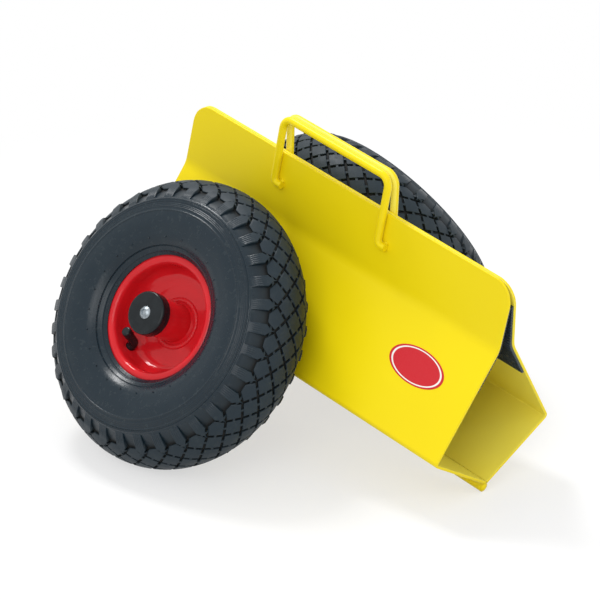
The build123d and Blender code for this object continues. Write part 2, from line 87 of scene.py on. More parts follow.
@dataclass(frozen=True)
class Wire:
    """One value in a shader graph. Python's operators on it add Math nodes."""

    graph: "Graph"
    socket: bpy.types.NodeSocket

    def __add__(self, other: "Feed") -> "Wire":
        """Sum."""
        return self.graph.math("ADD", self, other)

    def __radd__(self, other: "Feed") -> "Wire":
        """Sum with a plain number on the left."""
        return self.graph.math("ADD", other, self)

    def __sub__(self, other: "Feed") -> "Wire":
        """Difference."""
        return self.graph.math("SUBTRACT", self, other)

    def __rsub__(self, other: "Feed") -> "Wire":
        """Difference from a plain number."""
        return self.graph.math("SUBTRACT", other, self)

    def __mul__(self, other: "Feed") -> "Wire":
        """Product."""
        return self.graph.math("MULTIPLY", self, other)

    def __rmul__(self, other: "Feed") -> "Wire":
        """Product with a plain number on the left."""
        return self.graph.math("MULTIPLY", other, self)


Feed = Union[Wire, float, Sequence[float]]


@dataclass(frozen=True)
class Grain:
    """Noise in a finish: size of its features, octaves, and the two values that cut it to patches."""

    size: float
    octaves: float
    cut: tuple[float, float] | None = None


class Graph:
    """Node tree of a material or of the world."""

    def __init__(self, tree: bpy.types.NodeTree) -> None:
        """Empties the tree.

        Args:
            tree: Node tree to fill.
        """
        self.tree = tree
        self.tree.nodes.clear()

    @staticmethod
    def find(sockets: Any, key: Union[int, str]) -> bpy.types.NodeSocket:
        """Picks a socket by its index, its identifier or its name.

        Args:
            sockets: A node's inputs or outputs.
            key: Index, identifier or name.

        Returns:
            The socket.
        """
        if isinstance(key, int):
            return sockets[key]
        exact = [socket for socket in sockets if socket.identifier == key]
        return exact[0] if exact else next(s for s in sockets if s.name == key and s.enabled)

    def node(
        self, kind: str, settings: Mapping[str, Any] | None = None, feeds: Mapping[Any, Feed] | None = None
    ) -> bpy.types.Node:
        """Adds a node of any type.

        Args:
            kind: Node type.
            settings: Attributes to set first.
            feeds: Values or wires for the inputs.

        Returns:
            The node.
        """
        made = self.tree.nodes.new(kind)
        for name, value in (settings or {}).items():
            setattr(made, name, value)
        for key, feed in (feeds or {}).items():
            socket = self.find(made.inputs, key)
            if isinstance(feed, Wire):
                self.tree.links.new(feed.socket, socket)
            else:
                socket.default_value = feed
        return made

    def wire(
        self,
        kind: str,
        settings: Mapping[str, Any] | None = None,
        feeds: Mapping[Any, Feed] | None = None,
        output: Union[int, str] = 0,
    ) -> Wire:
        """Adds a node and takes one of its outputs.

        Args:
            kind: Node type.
            settings: Attributes to set first.
            feeds: Values or wires for the inputs.
            output: Which output to take.

        Returns:
            That output.
        """
        return Wire(self, self.find(self.node(kind, settings, feeds).outputs, output))

    def math(self, operation: str, *values: Feed) -> Wire:
        """Result of a Math node's operation on one or two values."""
        return self.wire("ShaderNodeMath", {"operation": operation}, dict(enumerate(values)))

    def place(self) -> Wire:
        """Position on the piece, which stays with it when it moves."""
        return self.wire("ShaderNodeTexCoord", output="Object")

    def carried(self, layer: str) -> Wire:
        """Value that the points of the mesh carry under a name."""
        return self.wire("ShaderNodeAttribute", {"attribute_name": layer}, None, "Fac")

    def scaled(self, vector: Wire, factors: Sequence[float]) -> Wire:
        """Vector multiplied axis by axis."""
        return self.wire("ShaderNodeVectorMath", {"operation": "MULTIPLY"}, {0: vector, 1: factors})

    def span(self, value: Wire, low: float, high: float, start: float = 0.0, end: float = 1.0) -> Wire:
        """Smooth step of a value.

        Args:
            value: The value.
            low: Where the step starts.
            high: Where it ends.
            start: Result at and below low.
            end: Result at and above high.

        Returns:
            The stepped value.
        """
        feeds = {"Value": value, "From Min": low, "From Max": high, "To Min": start, "To Max": end}
        return self.wire("ShaderNodeMapRange", {"interpolation_type": "SMOOTHSTEP"}, feeds, "Result")

    def grain(self, grain: Grain, place: Wire | None = None) -> Wire:
        """Noise of a finish, from 0 to 1.

        Args:
            grain: Which noise.
            place: Position to read it at, the piece's own by default.

        Returns:
            The noise, or the patches that it is cut to.
        """
        feeds = {"Vector": place or self.place(), "Scale": 1.0 / grain.size, "Detail": grain.octaves}
        noise = self.wire("ShaderNodeTexNoise", None, feeds, "Fac")
        return self.span(noise, *grain.cut) if grain.cut else noise

    def blend(self, share: Feed, first: Feed, second: Feed) -> Wire:
        """Mixes two colours.

        Args:
            share: How much of the second.
            first: Colour or wire.
            second: Colour or wire.

        Returns:
            The mixed colour.
        """
        feeds = {"Factor_Float": share, "A_Color": self.rgba(first), "B_Color": self.rgba(second)}
        return self.wire("ShaderNodeMix", {"data_type": "RGBA"}, feeds, "Result_Color")

    @staticmethod
    def rgba(colour: Feed) -> Feed:
        """Adds the alpha that a colour socket needs; a wire passes through."""
        return colour if isinstance(colour, Wire) else (*colour, 1.0)

    def bumped(self, height: Wire, depth: float, edge: float = 0.0) -> Wire:
        """Normal of a finely bumped surface.

        Args:
            height: Height of the bumps, from 0 to 1.
            depth: Full height, in metres.
            edge: Radius that softens sharp edges, in metres.

        Returns:
            The normal.
        """
        feeds: dict[Any, Feed] = {"Height": height, "Distance": depth, "Strength": 1.0}
        if edge:
            feeds["Normal"] = self.wire("ShaderNodeBevel", {"samples": EDGE_SAMPLES}, {"Radius": edge})
        return self.wire("ShaderNodeBump", None, feeds)

    def surface(self, feeds: Mapping[Any, Feed]) -> None:
        """Ends a material in a Principled shader.

        Args:
            feeds: Values or wires for the shader's inputs.
        """
        shader = self.wire("ShaderNodeBsdfPrincipled", None, feeds)
        self.node("ShaderNodeOutputMaterial", None, {"Surface": shader})


# Finishes


@dataclass(frozen=True)
class Finish:
    """A named finish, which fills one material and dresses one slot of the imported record."""

    name: str
    slot: str

    def material(self) -> bpy.types.Material:
        """The finish's material, made on first use.

        Returns:
            The material.
        """
        made = bpy.data.materials.get(self.name)
        if made is None:
            made = bpy.data.materials.new(self.name)
            made.use_nodes = True
            self.fill(Graph(made.node_tree))
        return made

    def fill(self, graph: Graph) -> None:
        """Adds the finish's nodes to an empty graph."""
        raise NotImplementedError


@dataclass(frozen=True)
class PowderCoat(Finish):
    """Thick glossy powder coat with orange peel; faces inside the cart are painted paler as bounce light."""

    colour: Colour = (0.87, 0.69, 0.004)
    deep: Colour = (0.82, 0.63, 0.003)
    # Paler colour painted on the faces inside the cart as painted bounce light.
    paler_mix: Colour = (0.90, 0.80, 0.12)
    roughness: float = 0.36
    specular: float = 0.2
    drift: Grain = Grain(90 * MM, 3.0, (0.3, 0.7))
    drift_share: float = 0.35
    specks: Grain = Grain(0.7 * MM, 1.0, (0.66, 0.74))
    speck_share: float = 0.12
    inside_facing: tuple[float, float] = (-0.5, -0.2)
    # Share of the painted bounce light inside the cart, and how much the drift makes it patchy.
    painted_light_share: float = 0.65
    painted_light_change: float = 0.2
    sheen: Grain = Grain(14 * MM, 3.0)
    sheen_share: float = 0.12
    peel: Grain = Grain(1.6 * MM, 1.5)
    peel_depth: float = 0.02 * MM
    edge_radius: float = 0.9 * MM

    @staticmethod
    def across(graph: Graph, output: str) -> Wire:
        """The part across the cart of a vector that the piece's coordinates give."""
        vector = graph.wire("ShaderNodeTexCoord", output=output)
        return graph.wire("ShaderNodeSeparateXYZ", None, {0: vector}, "Y")

    def fill(self, graph: Graph) -> None:
        """Adds the coat: soft colour drift, orange peel, rounded edges, and painted bounce light inside the cart.

        Args:
            graph: Graph to fill.
        """
        drift, specks, sheen, peel = map(graph.grain, (self.drift, self.specks, self.sheen, self.peel))
        clean = graph.blend(drift * self.drift_share + specks * self.speck_share, self.colour, self.deep)
        # Painted bounce light: faces that look into the cart get the paler colour, patchy with the drift.
        half = graph.math("SIGN", self.across(graph, "Object"))
        inside = graph.span(self.across(graph, "Normal") * half, *self.inside_facing, 1.0, 0.0)
        painted_inside_light = inside * (self.painted_light_share + drift * self.painted_light_change)
        graph.surface({
            "Base Color": graph.blend(painted_inside_light, clean, self.paler_mix),
            "Roughness": self.roughness + (sheen - MID_NOISE) * self.sheen_share,
            "Specular IOR Level": self.specular,
            "Normal": graph.bumped(peel, self.peel_depth, self.edge_radius),
        })


@dataclass(frozen=True)
class RimEnamel(Finish):
    """Glossy red enamel on pressed steel."""

    colour: Colour = (0.66, 0.014, 0.021)
    deep: Colour = (0.54, 0.010, 0.016)
    roughness: float = 0.1
    specular: float = 0.28
    pool: Grain = Grain(22 * MM, 3.0, (0.35, 0.65))
    pool_share: float = 0.45
    haze: Grain = Grain(6 * MM, 4.0, (0.4, 0.75))
    haze_share: float = 0.05
    ripple: Grain = Grain(4.5 * MM, 1.0)
    ripple_depth: float = 0.03 * MM
    edge_radius: float = 0.6 * MM

    def fill(self, graph: Graph) -> None:
        """Adds the enamel: a thin coat that pools and ripples slightly.

        Args:
            graph: Graph to fill.
        """
        pool, haze, ripple = map(graph.grain, (self.pool, self.haze, self.ripple))
        graph.surface({
            "Base Color": graph.blend(pool * self.pool_share, self.colour, self.deep),
            "Roughness": self.roughness + haze * self.haze_share,
            "Specular IOR Level": self.specular,
            "Normal": graph.bumped(ripple, self.ripple_depth, self.edge_radius),
        })


@dataclass(frozen=True)
class TyreRubber(Finish):
    """Moulded tyre rubber: satin walls with faint turning marks, duller tread, and painted shade in the grooves.
    """

    colour: Colour = (0.003, 0.013, 0.022)
    # Near-black colour painted into the grooves as shade.
    groove_shade_colour: Colour = (0.001, 0.002, 0.002)
    bloom_colour: Colour = (0.008, 0.019, 0.027)
    dust_colour: Colour = (0.022, 0.034, 0.041)
    roughness: float = 0.25
    tread_roughness: float = 0.28
    groove_roughness: float = 0.2
    specular: float = 0.36
    bloom: Grain = Grain(16 * MM, 5.0, (0.42, 0.72))
    bloom_share: float = 0.5
    tread_share: float = 0.25
    scuffs: Grain = Grain(4 * MM, 6.0, (0.56, 0.72))
    scuff_share: float = 0.5
    scuff_roughness: float = 0.1
    sheen: Grain = Grain(9 * MM, 4.0)
    sheen_share: float = 0.2
    skin: Grain = Grain(0.45 * MM, 2.0)
    skin_share: float = 0.7
    turning: float = 0.55 * MM
    turning_share: float = 0.2
    relief: float = 0.05 * MM

    def fill(self, graph: Graph) -> None:
        """Adds the rubber; the mesh carries the painted groove shade, the tread share and the radius.

        Args:
            graph: Graph to fill.
        """
        groove, tread, reach = map(graph.carried, ("groove", "tread", "reach"))
        bloom, scuffs, sheen, skin = map(graph.grain, (self.bloom, self.scuffs, self.sheen, self.skin))
        wear = bloom * self.bloom_share + tread * self.tread_share
        worn = graph.blend(wear, self.colour, self.bloom_colour)
        paler_mix = graph.blend(scuffs * self.scuff_share, worn, self.dust_colour)
        moulded = self.roughness + tread * self.tread_roughness + groove * self.groove_roughness
        turned = graph.math("SINE", reach * (FULL_TURN / self.turning))
        marks = turned * (self.turning_share - tread * self.turning_share)
        graph.surface({
            # Painted shade: the deeper a point lies in a groove, the nearer its colour is to black.
            "Base Color": graph.blend(groove, paler_mix, self.groove_shade_colour),
            "Roughness": moulded + (sheen - MID_NOISE) * self.sheen_share + scuffs * self.scuff_roughness,
            "Specular IOR Level": self.specular,
            "Normal": graph.bumped(skin * self.skin_share + marks, self.relief),
        })


@dataclass(frozen=True)
class PlainRubber(Finish):
    """Extruded or butyl rubber with a fine grain."""

    colour: Colour = (0.012, 0.016, 0.020)
    roughness: float = 0.5
    specular: float = 0.3
    pale_gain: float = 2.2
    bloom: Grain = Grain(12 * MM, 4.0, (0.45, 0.75))
    bloom_share: float = 0.4
    bloom_roughness: float = 0.12
    drawn: Grain = Grain(0.8 * MM, 2.0)
    drawn_out: tuple[float, float, float] = (0.08, 1.0, 1.0)
    drawn_depth: float = 0.06 * MM

    def fill(self, graph: Graph) -> None:
        """Adds the rubber: faint bloom, and grain drawn out along the strip.

        Args:
            graph: Graph to fill.
        """
        bloom = graph.grain(self.bloom)
        drawn = graph.grain(self.drawn, graph.scaled(graph.place(), self.drawn_out))
        pale = tuple(channel * self.pale_gain for channel in self.colour)
        graph.surface({
            "Base Color": graph.blend(bloom * self.bloom_share, self.colour, pale),
            "Roughness": self.roughness + (bloom - MID_NOISE) * self.bloom_roughness,
            "Specular IOR Level": self.specular,
            "Normal": graph.bumped(drawn, self.drawn_depth),
        })


@dataclass(frozen=True)
class MouldedPlastic(Finish):
    """Moulded plastic with a fine spark-eroded grain."""

    colour: Colour = (0.006, 0.009, 0.011)
    roughness: float = 0.25
    specular: float = 0.25
    pale_gain: float = 1.5
    pale_lift: float = 0.004
    pale_from: tuple[float, float] = (0.4, 0.7)
    pale_share: float = 0.5
    sheen: Grain = Grain(7 * MM, 3.0)
    sheen_share: float = 0.1
    spark: Grain = Grain(0.35 * MM, 1.0)
    spark_depth: float = 0.03 * MM
    edge_radius: float = 1.2 * MM

    def fill(self, graph: Graph) -> None:
        """Adds the plastic: grain, and a slight change of gloss.

        Args:
            graph: Graph to fill.
        """
        sheen, spark = map(graph.grain, (self.sheen, self.spark))
        pale = tuple(min(1.0, channel * self.pale_gain + self.pale_lift) for channel in self.colour)
        share = graph.span(sheen, *self.pale_from) * self.pale_share
        graph.surface({
            "Base Color": graph.blend(share, self.colour, pale),
            "Roughness": self.roughness + (sheen - MID_NOISE) * self.sheen_share,
            "Specular IOR Level": self.specular,
            "Normal": graph.bumped(spark, self.spark_depth, self.edge_radius),
        })


@dataclass(frozen=True)
class ZincSteel(Finish):
    """Bright zinc plate on turned steel."""

    colour: Colour = (0.36, 0.40, 0.43)
    dull: Colour = (0.22, 0.25, 0.27)
    roughness: float = 0.36
    cloud: Grain = Grain(3 * MM, 4.0, (0.35, 0.7))
    cloud_roughness: float = 0.14
    marks: Grain = Grain(0.3 * MM, 2.0)
    mark_depth: float = 0.02 * MM
    edge_radius: float = 0.3 * MM

    def fill(self, graph: Graph) -> None:
        """Adds the plate: cloudy passivation and fine turning marks.

        Args:
            graph: Graph to fill.
        """
        cloud, marks = map(graph.grain, (self.cloud, self.marks))
        graph.surface({
            "Base Color": graph.blend(cloud, self.colour, self.dull),
            "Metallic": 1.0,
            "Roughness": self.roughness + cloud * self.cloud_roughness,
            "Normal": graph.bumped(marks, self.mark_depth, self.edge_radius),
        })


@dataclass(frozen=True)
class BadgeVinyl(Finish):
    """Blank vinyl badge: a red field inside a white keyline."""

    field_colour: Colour = (0.58, 0.014, 0.024)
    line_colour: Colour = (0.84, 0.83, 0.80)
    line: tuple[float, float] = (0.86, 0.92)
    line_soft: float = 0.006
    roughness: float = 0.28
    specular: float = 0.25
    speckle: Grain = Grain(0.5 * MM, 2.0, (0.4, 0.7))
    speckle_share: float = 0.02
    speckle_roughness: float = 0.08
    ripple: Grain = Grain(9 * MM, 2.0)
    ripple_depth: float = 0.04 * MM

    def fill(self, graph: Graph) -> None:
        """Adds the vinyl, its line drawn by the radius share that the mesh carries.

        Args:
            graph: Graph to fill.
        """
        share = graph.carried("share")
        soft = self.line_soft
        inside, outside = (graph.span(share, edge - soft, edge + soft) for edge in self.line)
        speckle, ripple = map(graph.grain, (self.speckle, self.ripple))
        red = graph.blend(speckle * self.speckle_share, self.field_colour, self.line_colour)
        graph.surface({
            "Base Color": graph.blend(inside - outside, red, self.line_colour),
            "Roughness": self.roughness + speckle * self.speckle_roughness,
            "Specular IOR Level": self.specular,
            "Normal": graph.bumped(ripple, self.ripple_depth),
        })


POWDER_COAT = PowderCoat("glossy_yellow_coat", "yellow_powder_coat")
RIM_ENAMEL = RimEnamel("red_rim_enamel", "red_paint")
TYRE_RUBBER = TyreRubber("moulded_tyre_rubber", "tyre_rubber")
LINING_RUBBER = PlainRubber("ribbed_lining_rubber", "lining_rubber", (0.032, 0.045, 0.058), 0.3)
TUBE_RUBBER = PlainRubber("butyl_tube_rubber", "tube_rubber", (0.016, 0.016, 0.017), 0.42)
VALVE_RUBBER = PlainRubber("valve_stem_rubber", "valve_rubber", (0.008, 0.010, 0.012), 0.24)
CAP_PLASTIC = MouldedPlastic("black_cap_plastic", "black_plastic")
BUSH_PLASTIC = MouldedPlastic("natural_nylon", "bush_plastic", (0.62, 0.60, 0.52), 0.45)
ZINC_STEEL = ZincSteel("bright_zinc_steel", "zinc_steel")
BADGE_VINYL = BadgeVinyl("blank_badge_vinyl", "red_paint")
SLOT_FINISHES = {
    finish.slot: finish
    for finish in (
        POWDER_COAT,
        RIM_ENAMEL,
        TYRE_RUBBER,
        LINING_RUBBER,
        TUBE_RUBBER,
        VALVE_RUBBER,
        CAP_PLASTIC,
        BUSH_PLASTIC,
        ZINC_STEEL,
    )
}


# Places read from the frame


class Side(Enum):
    """The cart's two halves."""

    NEAR = "near"
    FAR = "far"

    def name_of(self, piece: str) -> str:
        """Name of this side's node, body, joint or piece."""
        return f"{self.value}_{piece}"


class WheelFace(IntEnum):
    """The two faces of a wheel; the value is the direction along its axle."""

    OUTSIDE = 1
    INSIDE = -1


def joint_named(name: str) -> Mapping[str, Any]:
    """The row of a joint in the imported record."""
    return next(joint for joint in frame["joints"] if joint["name"] == name)


def node_points(name: str) -> np.ndarray:
    """Reads the corners of a node's mesh.

    Args:
        name: The node's name.

    Returns:
        One row of three coordinates for each vertex.
    """
    vertices = frame["nodes"][name].data.vertices
    flat = np.empty(3 * len(vertices))
    vertices.foreach_get("co", flat)
    return flat.reshape(-1, 3)


@dataclass(frozen=True)
class CartAxes:
    """Hinge and directions of the whole cart."""

    hinge: np.ndarray
    along: np.ndarray
    across: np.ndarray
    up: np.ndarray

    @classmethod
    def read(cls) -> "CartAxes":
        """Takes them from the hinge joint, whose axis runs against the cart's length.

        Returns:
            The cart's axes.
        """
        hinge = joint_named("jaw_hinge")
        along = -np.array(hinge["axis"]) / np.linalg.norm(hinge["axis"])
        across = np.array((0.0, 1.0, 0.0))
        return cls(np.array(hinge["pos_m"]), along, across, np.cross(along, across))


@dataclass(frozen=True)
class HalfAxes:
    """Directions of one half: outward along its axle, and up its flare; and the centre of its wheel."""

    cart: CartAxes
    side: Side
    outward: np.ndarray
    rise: np.ndarray
    wheel: np.ndarray

    @classmethod
    def read(cls, cart: CartAxes, side: Side) -> "HalfAxes":
        """Takes them from the wheel's joint.

        Args:
            cart: Axes of the cart.
            side: Which half.

        Returns:
            The half's axes.
        """
        spin = joint_named(side.name_of("wheel_spin"))
        outward = np.array(spin["axis"]) / np.linalg.norm(spin["axis"])
        rise = cart.up - outward * (cart.up @ outward)
        return cls(cart, side, outward, rise / np.linalg.norm(rise), np.array(spin["pos_m"]))

    def round_wheel(self, turn: Values, radius: Values, station: Values) -> np.ndarray:
        """Points round the axle, in a right-handed turn about its outward direction.

        Args:
            turn: Angles, in radians.
            radius: Distances from the axle.
            station: Distances outward from the middle of the wheel.

        Returns:
            One row of three coordinates for each point.
        """
        turn, radius, station = np.broadcast_arrays(turn, radius, station)
        upward = np.cross(self.outward, self.cart.along)
        return (
            self.wheel
            + np.outer((radius * np.cos(turn)).ravel(), self.cart.along)
            + np.outer((radius * np.sin(turn)).ravel(), upward)
            + np.outer(station.ravel(), self.outward)
        )

    def wheel_reach(self, piece: str) -> tuple[np.ndarray, np.ndarray]:
        """Where the corners of one of this half's nodes lie about the wheel.

        Args:
            piece: The node's name without its side.

        Returns:
            Distances from the axle, and outward from the middle of the wheel.
        """
        offset = node_points(self.side.name_of(piece)) - self.wheel
        station = offset @ self.outward
        return np.linalg.norm(offset - np.outer(station, self.outward), axis=1), station


# Meshes


@dataclass(frozen=True)
class Ring:
    """Points of a mesh round an axle."""

    numbers: np.ndarray
    turn: np.ndarray

    def from_turn(self, start: float) -> tuple[list[int], np.ndarray]:
        """The ring, opened at a turn and closed on itself.

        Args:
            start: Where to open it, in radians.

        Returns:
            The points' numbers and their growing turn, the first repeated a full turn on.
        """
        away = np.mod(self.turn - start + SAME_TURN, FULL_TURN)
        order = np.argsort(away)
        numbers, turn = self.numbers[order], start + away[order]
        return np.append(numbers, numbers[0]).tolist(), np.append(turn, turn[0] + FULL_TURN)


class Skin:
    """Points and faces of one mesh."""

    def __init__(self) -> None:
        """Starts with nothing."""
        self.points: list[np.ndarray] = []
        self.faces: list[tuple[int, ...]] = []
        self.layers: dict[str, list[np.ndarray]] = {}
        self.count = 0

    def add(self, points: np.ndarray, **layers: Values) -> np.ndarray:
        """Adds points, with values that they carry.

        Args:
            points: One row of three coordinates for each point.
            layers: Named values, one for each point or one for all.

        Returns:
            The points' numbers.
        """
        numbers = np.arange(self.count, self.count + len(points))
        self.count += len(points)
        self.points.append(points)
        for name, values in layers.items():
            flat = np.broadcast_to(np.ravel(values), (len(points),))
            self.layers.setdefault(name, []).append(flat)
        return numbers

    def take(self, corners: np.ndarray) -> None:
        """Adds faces.

        Args:
            corners: Numbers of each face's points along the last axis.
        """
        self.faces.extend(map(tuple, corners.reshape(-1, corners.shape[-1]).tolist()))

    def bridge(self, rows: np.ndarray) -> None:
        """Adds the faces between rings of like division.

        Args:
            rows: Numbers of the points, ring by ring.
        """
        after = np.roll(rows, -1, axis=1)
        self.take(np.stack([rows[:-1], after[:-1], after[1:], rows[1:]], axis=-1))

    def close(self, ring: np.ndarray, pole: int) -> None:
        """Closes the first end of a tube with a fan of faces; the last end takes its ring in reverse.

        Args:
            ring: Numbers of the end ring's points.
            pole: Number of the point that the fan meets in.
        """
        self.take(np.stack([np.full(len(ring), pole), np.roll(ring, -1), ring], axis=-1))

    def zip_rings(self, low: Ring, high: Ring) -> None:
        """Joins two rings of unlike division.

        Args:
            low: First ring.
            high: Second ring, further out.
        """
        first, first_turn = low.from_turn(low.turn[0])
        second, second_turn = high.from_turn(low.turn[0])
        i = j = 0
        while i < len(low.numbers) or j < len(high.numbers):
            step = first_turn[i + 1] - second_turn[j + 1] if i < len(low.numbers) else math.inf
            step = step if j < len(high.numbers) else -math.inf
            if abs(step) < SAME_TURN:
                self.faces.append((first[i], first[i + 1], second[j + 1], second[j]))
                i, j = i + 1, j + 1
            elif step < 0:
                self.faces.append((first[i], first[i + 1], second[j]))
                i += 1
            else:
                self.faces.append((first[i], second[j + 1], second[j]))
                j += 1

    def to_mesh(self, name: str, finish: Finish, sharp: float) -> bpy.types.Mesh:
        """Makes the mesh.

        Args:
            name: Its name.
            finish: Its finish.
            sharp: Angle above which an edge is sharp, in radians.

        Returns:
            The mesh.
        """
        mesh = bpy.data.meshes.new(name)
        mesh.from_pydata(np.concatenate(self.points).tolist(), [], self.faces)
        for layer, values in self.layers.items():
            attribute = mesh.attributes.new(layer, "FLOAT", "POINT")
            attribute.data.foreach_set("value", np.concatenate(values).astype(np.float32))
        mesh.polygons.foreach_set("use_smooth", np.ones(len(mesh.polygons), bool))
        mesh.set_sharp_from_angle(angle=sharp)
        mesh.materials.append(finish.material())
        mesh.validate()
        return mesh

    def to_piece(
        self, name: str, body: str, finish: Finish, *nodes: str, sharp: float = math.radians(60)
    ) -> bpy.types.Object:
        """Makes the finished piece, puts it on its body and reports it.

        Args:
            name: The piece's name.
            body: Name of the body that carries it.
            finish: Its finish.
            nodes: Nodes of the frame that it stands for.
            sharp: Angle above which an edge is sharp, in radians.

        Returns:
            The piece.
        """
        piece = bpy.data.objects.new(name, self.to_mesh(name, finish, sharp))
        bpy.context.scene.collection.objects.link(piece)
        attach(piece, body)
        if nodes:
            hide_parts(*nodes)
        LOG.info("%s rides on %s, %d faces", piece.name, body, len(piece.data.polygons))
        return piece


# Tyres


@dataclass(frozen=True)
class TyreSection:
    """Oval section of the frame's tyre, about the middle of its air space, and the seat of its bead."""

    core: float
    half_height: float
    half_width: float
    bead_radius: float
    bead_toe: float
    bead_heel: float
    ledge_radius: float

    @classmethod
    def read(cls, axes: HalfAxes, touch: float = 0.1 * MM, past_heel: float = 1.0 * MM) -> "TyreSection":
        """Measures it on the frame's tyre and inner tube.

        Args:
            axes: Axes of the tyre's half.
            touch: How near to the smallest radius a corner is on the bead's bore.
            past_heel: How far outside the bead's heel a corner is clear of it.

        Returns:
            The section.
        """
        radius, station = axes.wheel_reach("tyre")
        tube = axes.wheel_reach("inner_tube")[0]
        core = (tube.min() + tube.max()) / 2
        bead = np.abs(station[radius < radius.min() + touch])
        ledge = radius[np.abs(station) > bead.max() + past_heel].min()
        return cls(core, radius.max() - core, station.max(), radius.min(), bead.min(), bead.max(), ledge)

    def at(self, angle: Values, depth: Values = 0.0) -> tuple[Values, Values]:
        """Point of the oval.

        Args:
            angle: From the crown towards the outside, in radians.
            depth: Below the surface.

        Returns:
            Distance from the axle, and outward from the middle of the wheel.
        """
        radius = self.core + (self.half_height - depth) * np.cos(angle)
        return radius, (self.half_width - depth) * np.sin(angle)

    def angle_at(self, radius: float) -> float:
        """Angle of the oval at a distance from the axle."""
        return math.acos((radius - self.core) / self.half_height)


@dataclass(frozen=True)
class WallRing:
    """Ring on a wall: raised, or sunk where its height is below 0."""

    radius: float
    half_width: float
    height: float


@dataclass(frozen=True)
class TyreWall:
    """One wall of a tyre: its rings, the lip over the rim, the bead, and half of the air space.

    The steps of the lip and of the seat are pairs of distances, away from the axle and outward. The lip's
    start from the foot of the wall, and the seat's from the heel of the bead.
    """

    thickness: float = 6.5 * MM
    rings: tuple[WallRing, ...] = (
        WallRing(104.4 * MM, 1.0 * MM, 0.7 * MM),
        WallRing(102.2 * MM, 1.2 * MM, 0.8 * MM),
        WallRing(99.9 * MM, 0.6 * MM, 0.3 * MM),
        WallRing(98.5 * MM, 0.6 * MM, 0.3 * MM),
        WallRing(97.1 * MM, 0.6 * MM, 0.3 * MM),
        WallRing(93.6 * MM, 0.7 * MM, 0.5 * MM),
        WallRing(69.5 * MM, 9.5 * MM, 0.9 * MM),
        WallRing(63.4 * MM, 0.7 * MM, -0.8 * MM),
        WallRing(59.6 * MM, 1.2 * MM, 0.3 * MM),
    )
    ring_steps: tuple[float, ...] = (-1.0, -0.55, -0.2, 0.2, 0.55, 1.0)
    lip_steps: Profile = ((-1.0 * MM, -1.2 * MM), (-1.8 * MM, -2.0 * MM))
    seat_steps: Profile = ((-0.3 * MM, 3.2 * MM), (0.0, 2.0 * MM), (0.0, 0.0))
    steps: int = 15
    cavity_steps: int = 10

    def outside(self, section: TyreSection, start: float) -> np.ndarray:
        """Profile of the ringed face, down to the lip.

        Args:
            section: The tyre's section.
            start: Angle of the section at the end of the shoulder.

        Returns:
            Rows of distance from the axle and distance outward.
        """
        last = section.angle_at(section.ledge_radius)
        angles = list(np.linspace(start, last, self.steps)[1:])
        for ring in self.rings:
            middle, reach = section.angle_at(ring.radius), ring.half_width / section.half_width
            angles += [middle + step * reach for step in self.ring_steps]
        angles = np.array(sorted(angle for angle in angles if angle <= last))
        depth = np.zeros_like(angles)
        for ring in self.rings:
            away = np.abs(angles - section.angle_at(ring.radius)) * section.half_width / ring.half_width
            depth -= ring.height * np.where(away < 1.0, 0.5 + 0.5 * np.cos(math.pi * away), 0.0)
        return np.stack(section.at(angles, depth), axis=1)

    def profile(self, section: TyreSection, start: float) -> np.ndarray:
        """Profile from the shoulder to the bead and into the middle of the air space.

        Args:
            section: The tyre's section.
            start: Angle of the section at the end of the shoulder.

        Returns:
            Rows of distance from the axle and distance outward.
        """
        outside = self.outside(section, start)
        lip = np.array(self.lip_steps) + (section.ledge_radius, outside[-1][1])
        seat = np.array(self.seat_steps) + (section.ledge_radius, section.bead_heel)
        bore = [(section.bead_radius, station) for station in (section.bead_heel, section.bead_toe)]
        cavity_height = section.half_height - self.thickness
        cavity_end = math.acos((section.ledge_radius - section.core) / cavity_height)
        cavity_angles = np.linspace(cavity_end, 0.0, self.cavity_steps)
        cavity = np.stack(section.at(cavity_angles, self.thickness), axis=1)
        return np.concatenate([outside, lip, seat, bore, cavity])


@dataclass(frozen=True)
class VentNubs:
    """Nubs that the vents of the mould leave in a ring on each wall."""

    count: int = 24
    reach: float = 70.5 * MM
    radius: float = 0.8 * MM
    height: float = 2.0 * MM
    sides: int = 10
    profile: Profile = ((1.0, -0.5), (1.0, 0.4), (0.7, 0.85), (0.3, 1.0))

    def add_to(self, tyre: "Tyre", face: WheelFace) -> None:
        """Adds one wall's ring of nubs to the mesh of a tyre.

        Args:
            tyre: The tyre.
            face: Which wall.
        """
        middle = face * tyre.section.angle_at(self.reach)
        around = face * even_turns(self.sides)
        size, height = (np.array(column)[:, None] for column in zip(*self.profile))
        along = size * self.radius * np.cos(around) / self.reach
        angle = middle + size * self.radius * np.sin(around) / tyre.section.half_width
        depth = -height * self.height
        for turn in tyre.turn_at((np.arange(self.count) + 0.5) * tyre.pitches / self.count):
            grid = tyre.add_points(turn + along, angle, depth, groove=0.0, tread=0.0)
            poles = tyre.add_points(turn, np.full(2, middle), depth[[0, -1], 0], groove=0.0, tread=0.0)
            tyre.skin.bridge(grid)
            tyre.skin.close(grid[0], poles[0])
            tyre.skin.close(grid[-1, ::-1], poles[1])


@dataclass(frozen=True)
class Lane:
    """Column of points down a shoulder, on one flank of a lug, or of the diamond and notch beside it.

    Its share places it between the middle and the edge, and its corner says which corner of the groove's
    profile keeps it from the edge.
    """

    on_lug: bool
    flank: int
    share: float
    corner: int = 3
    rib: float = 0.0


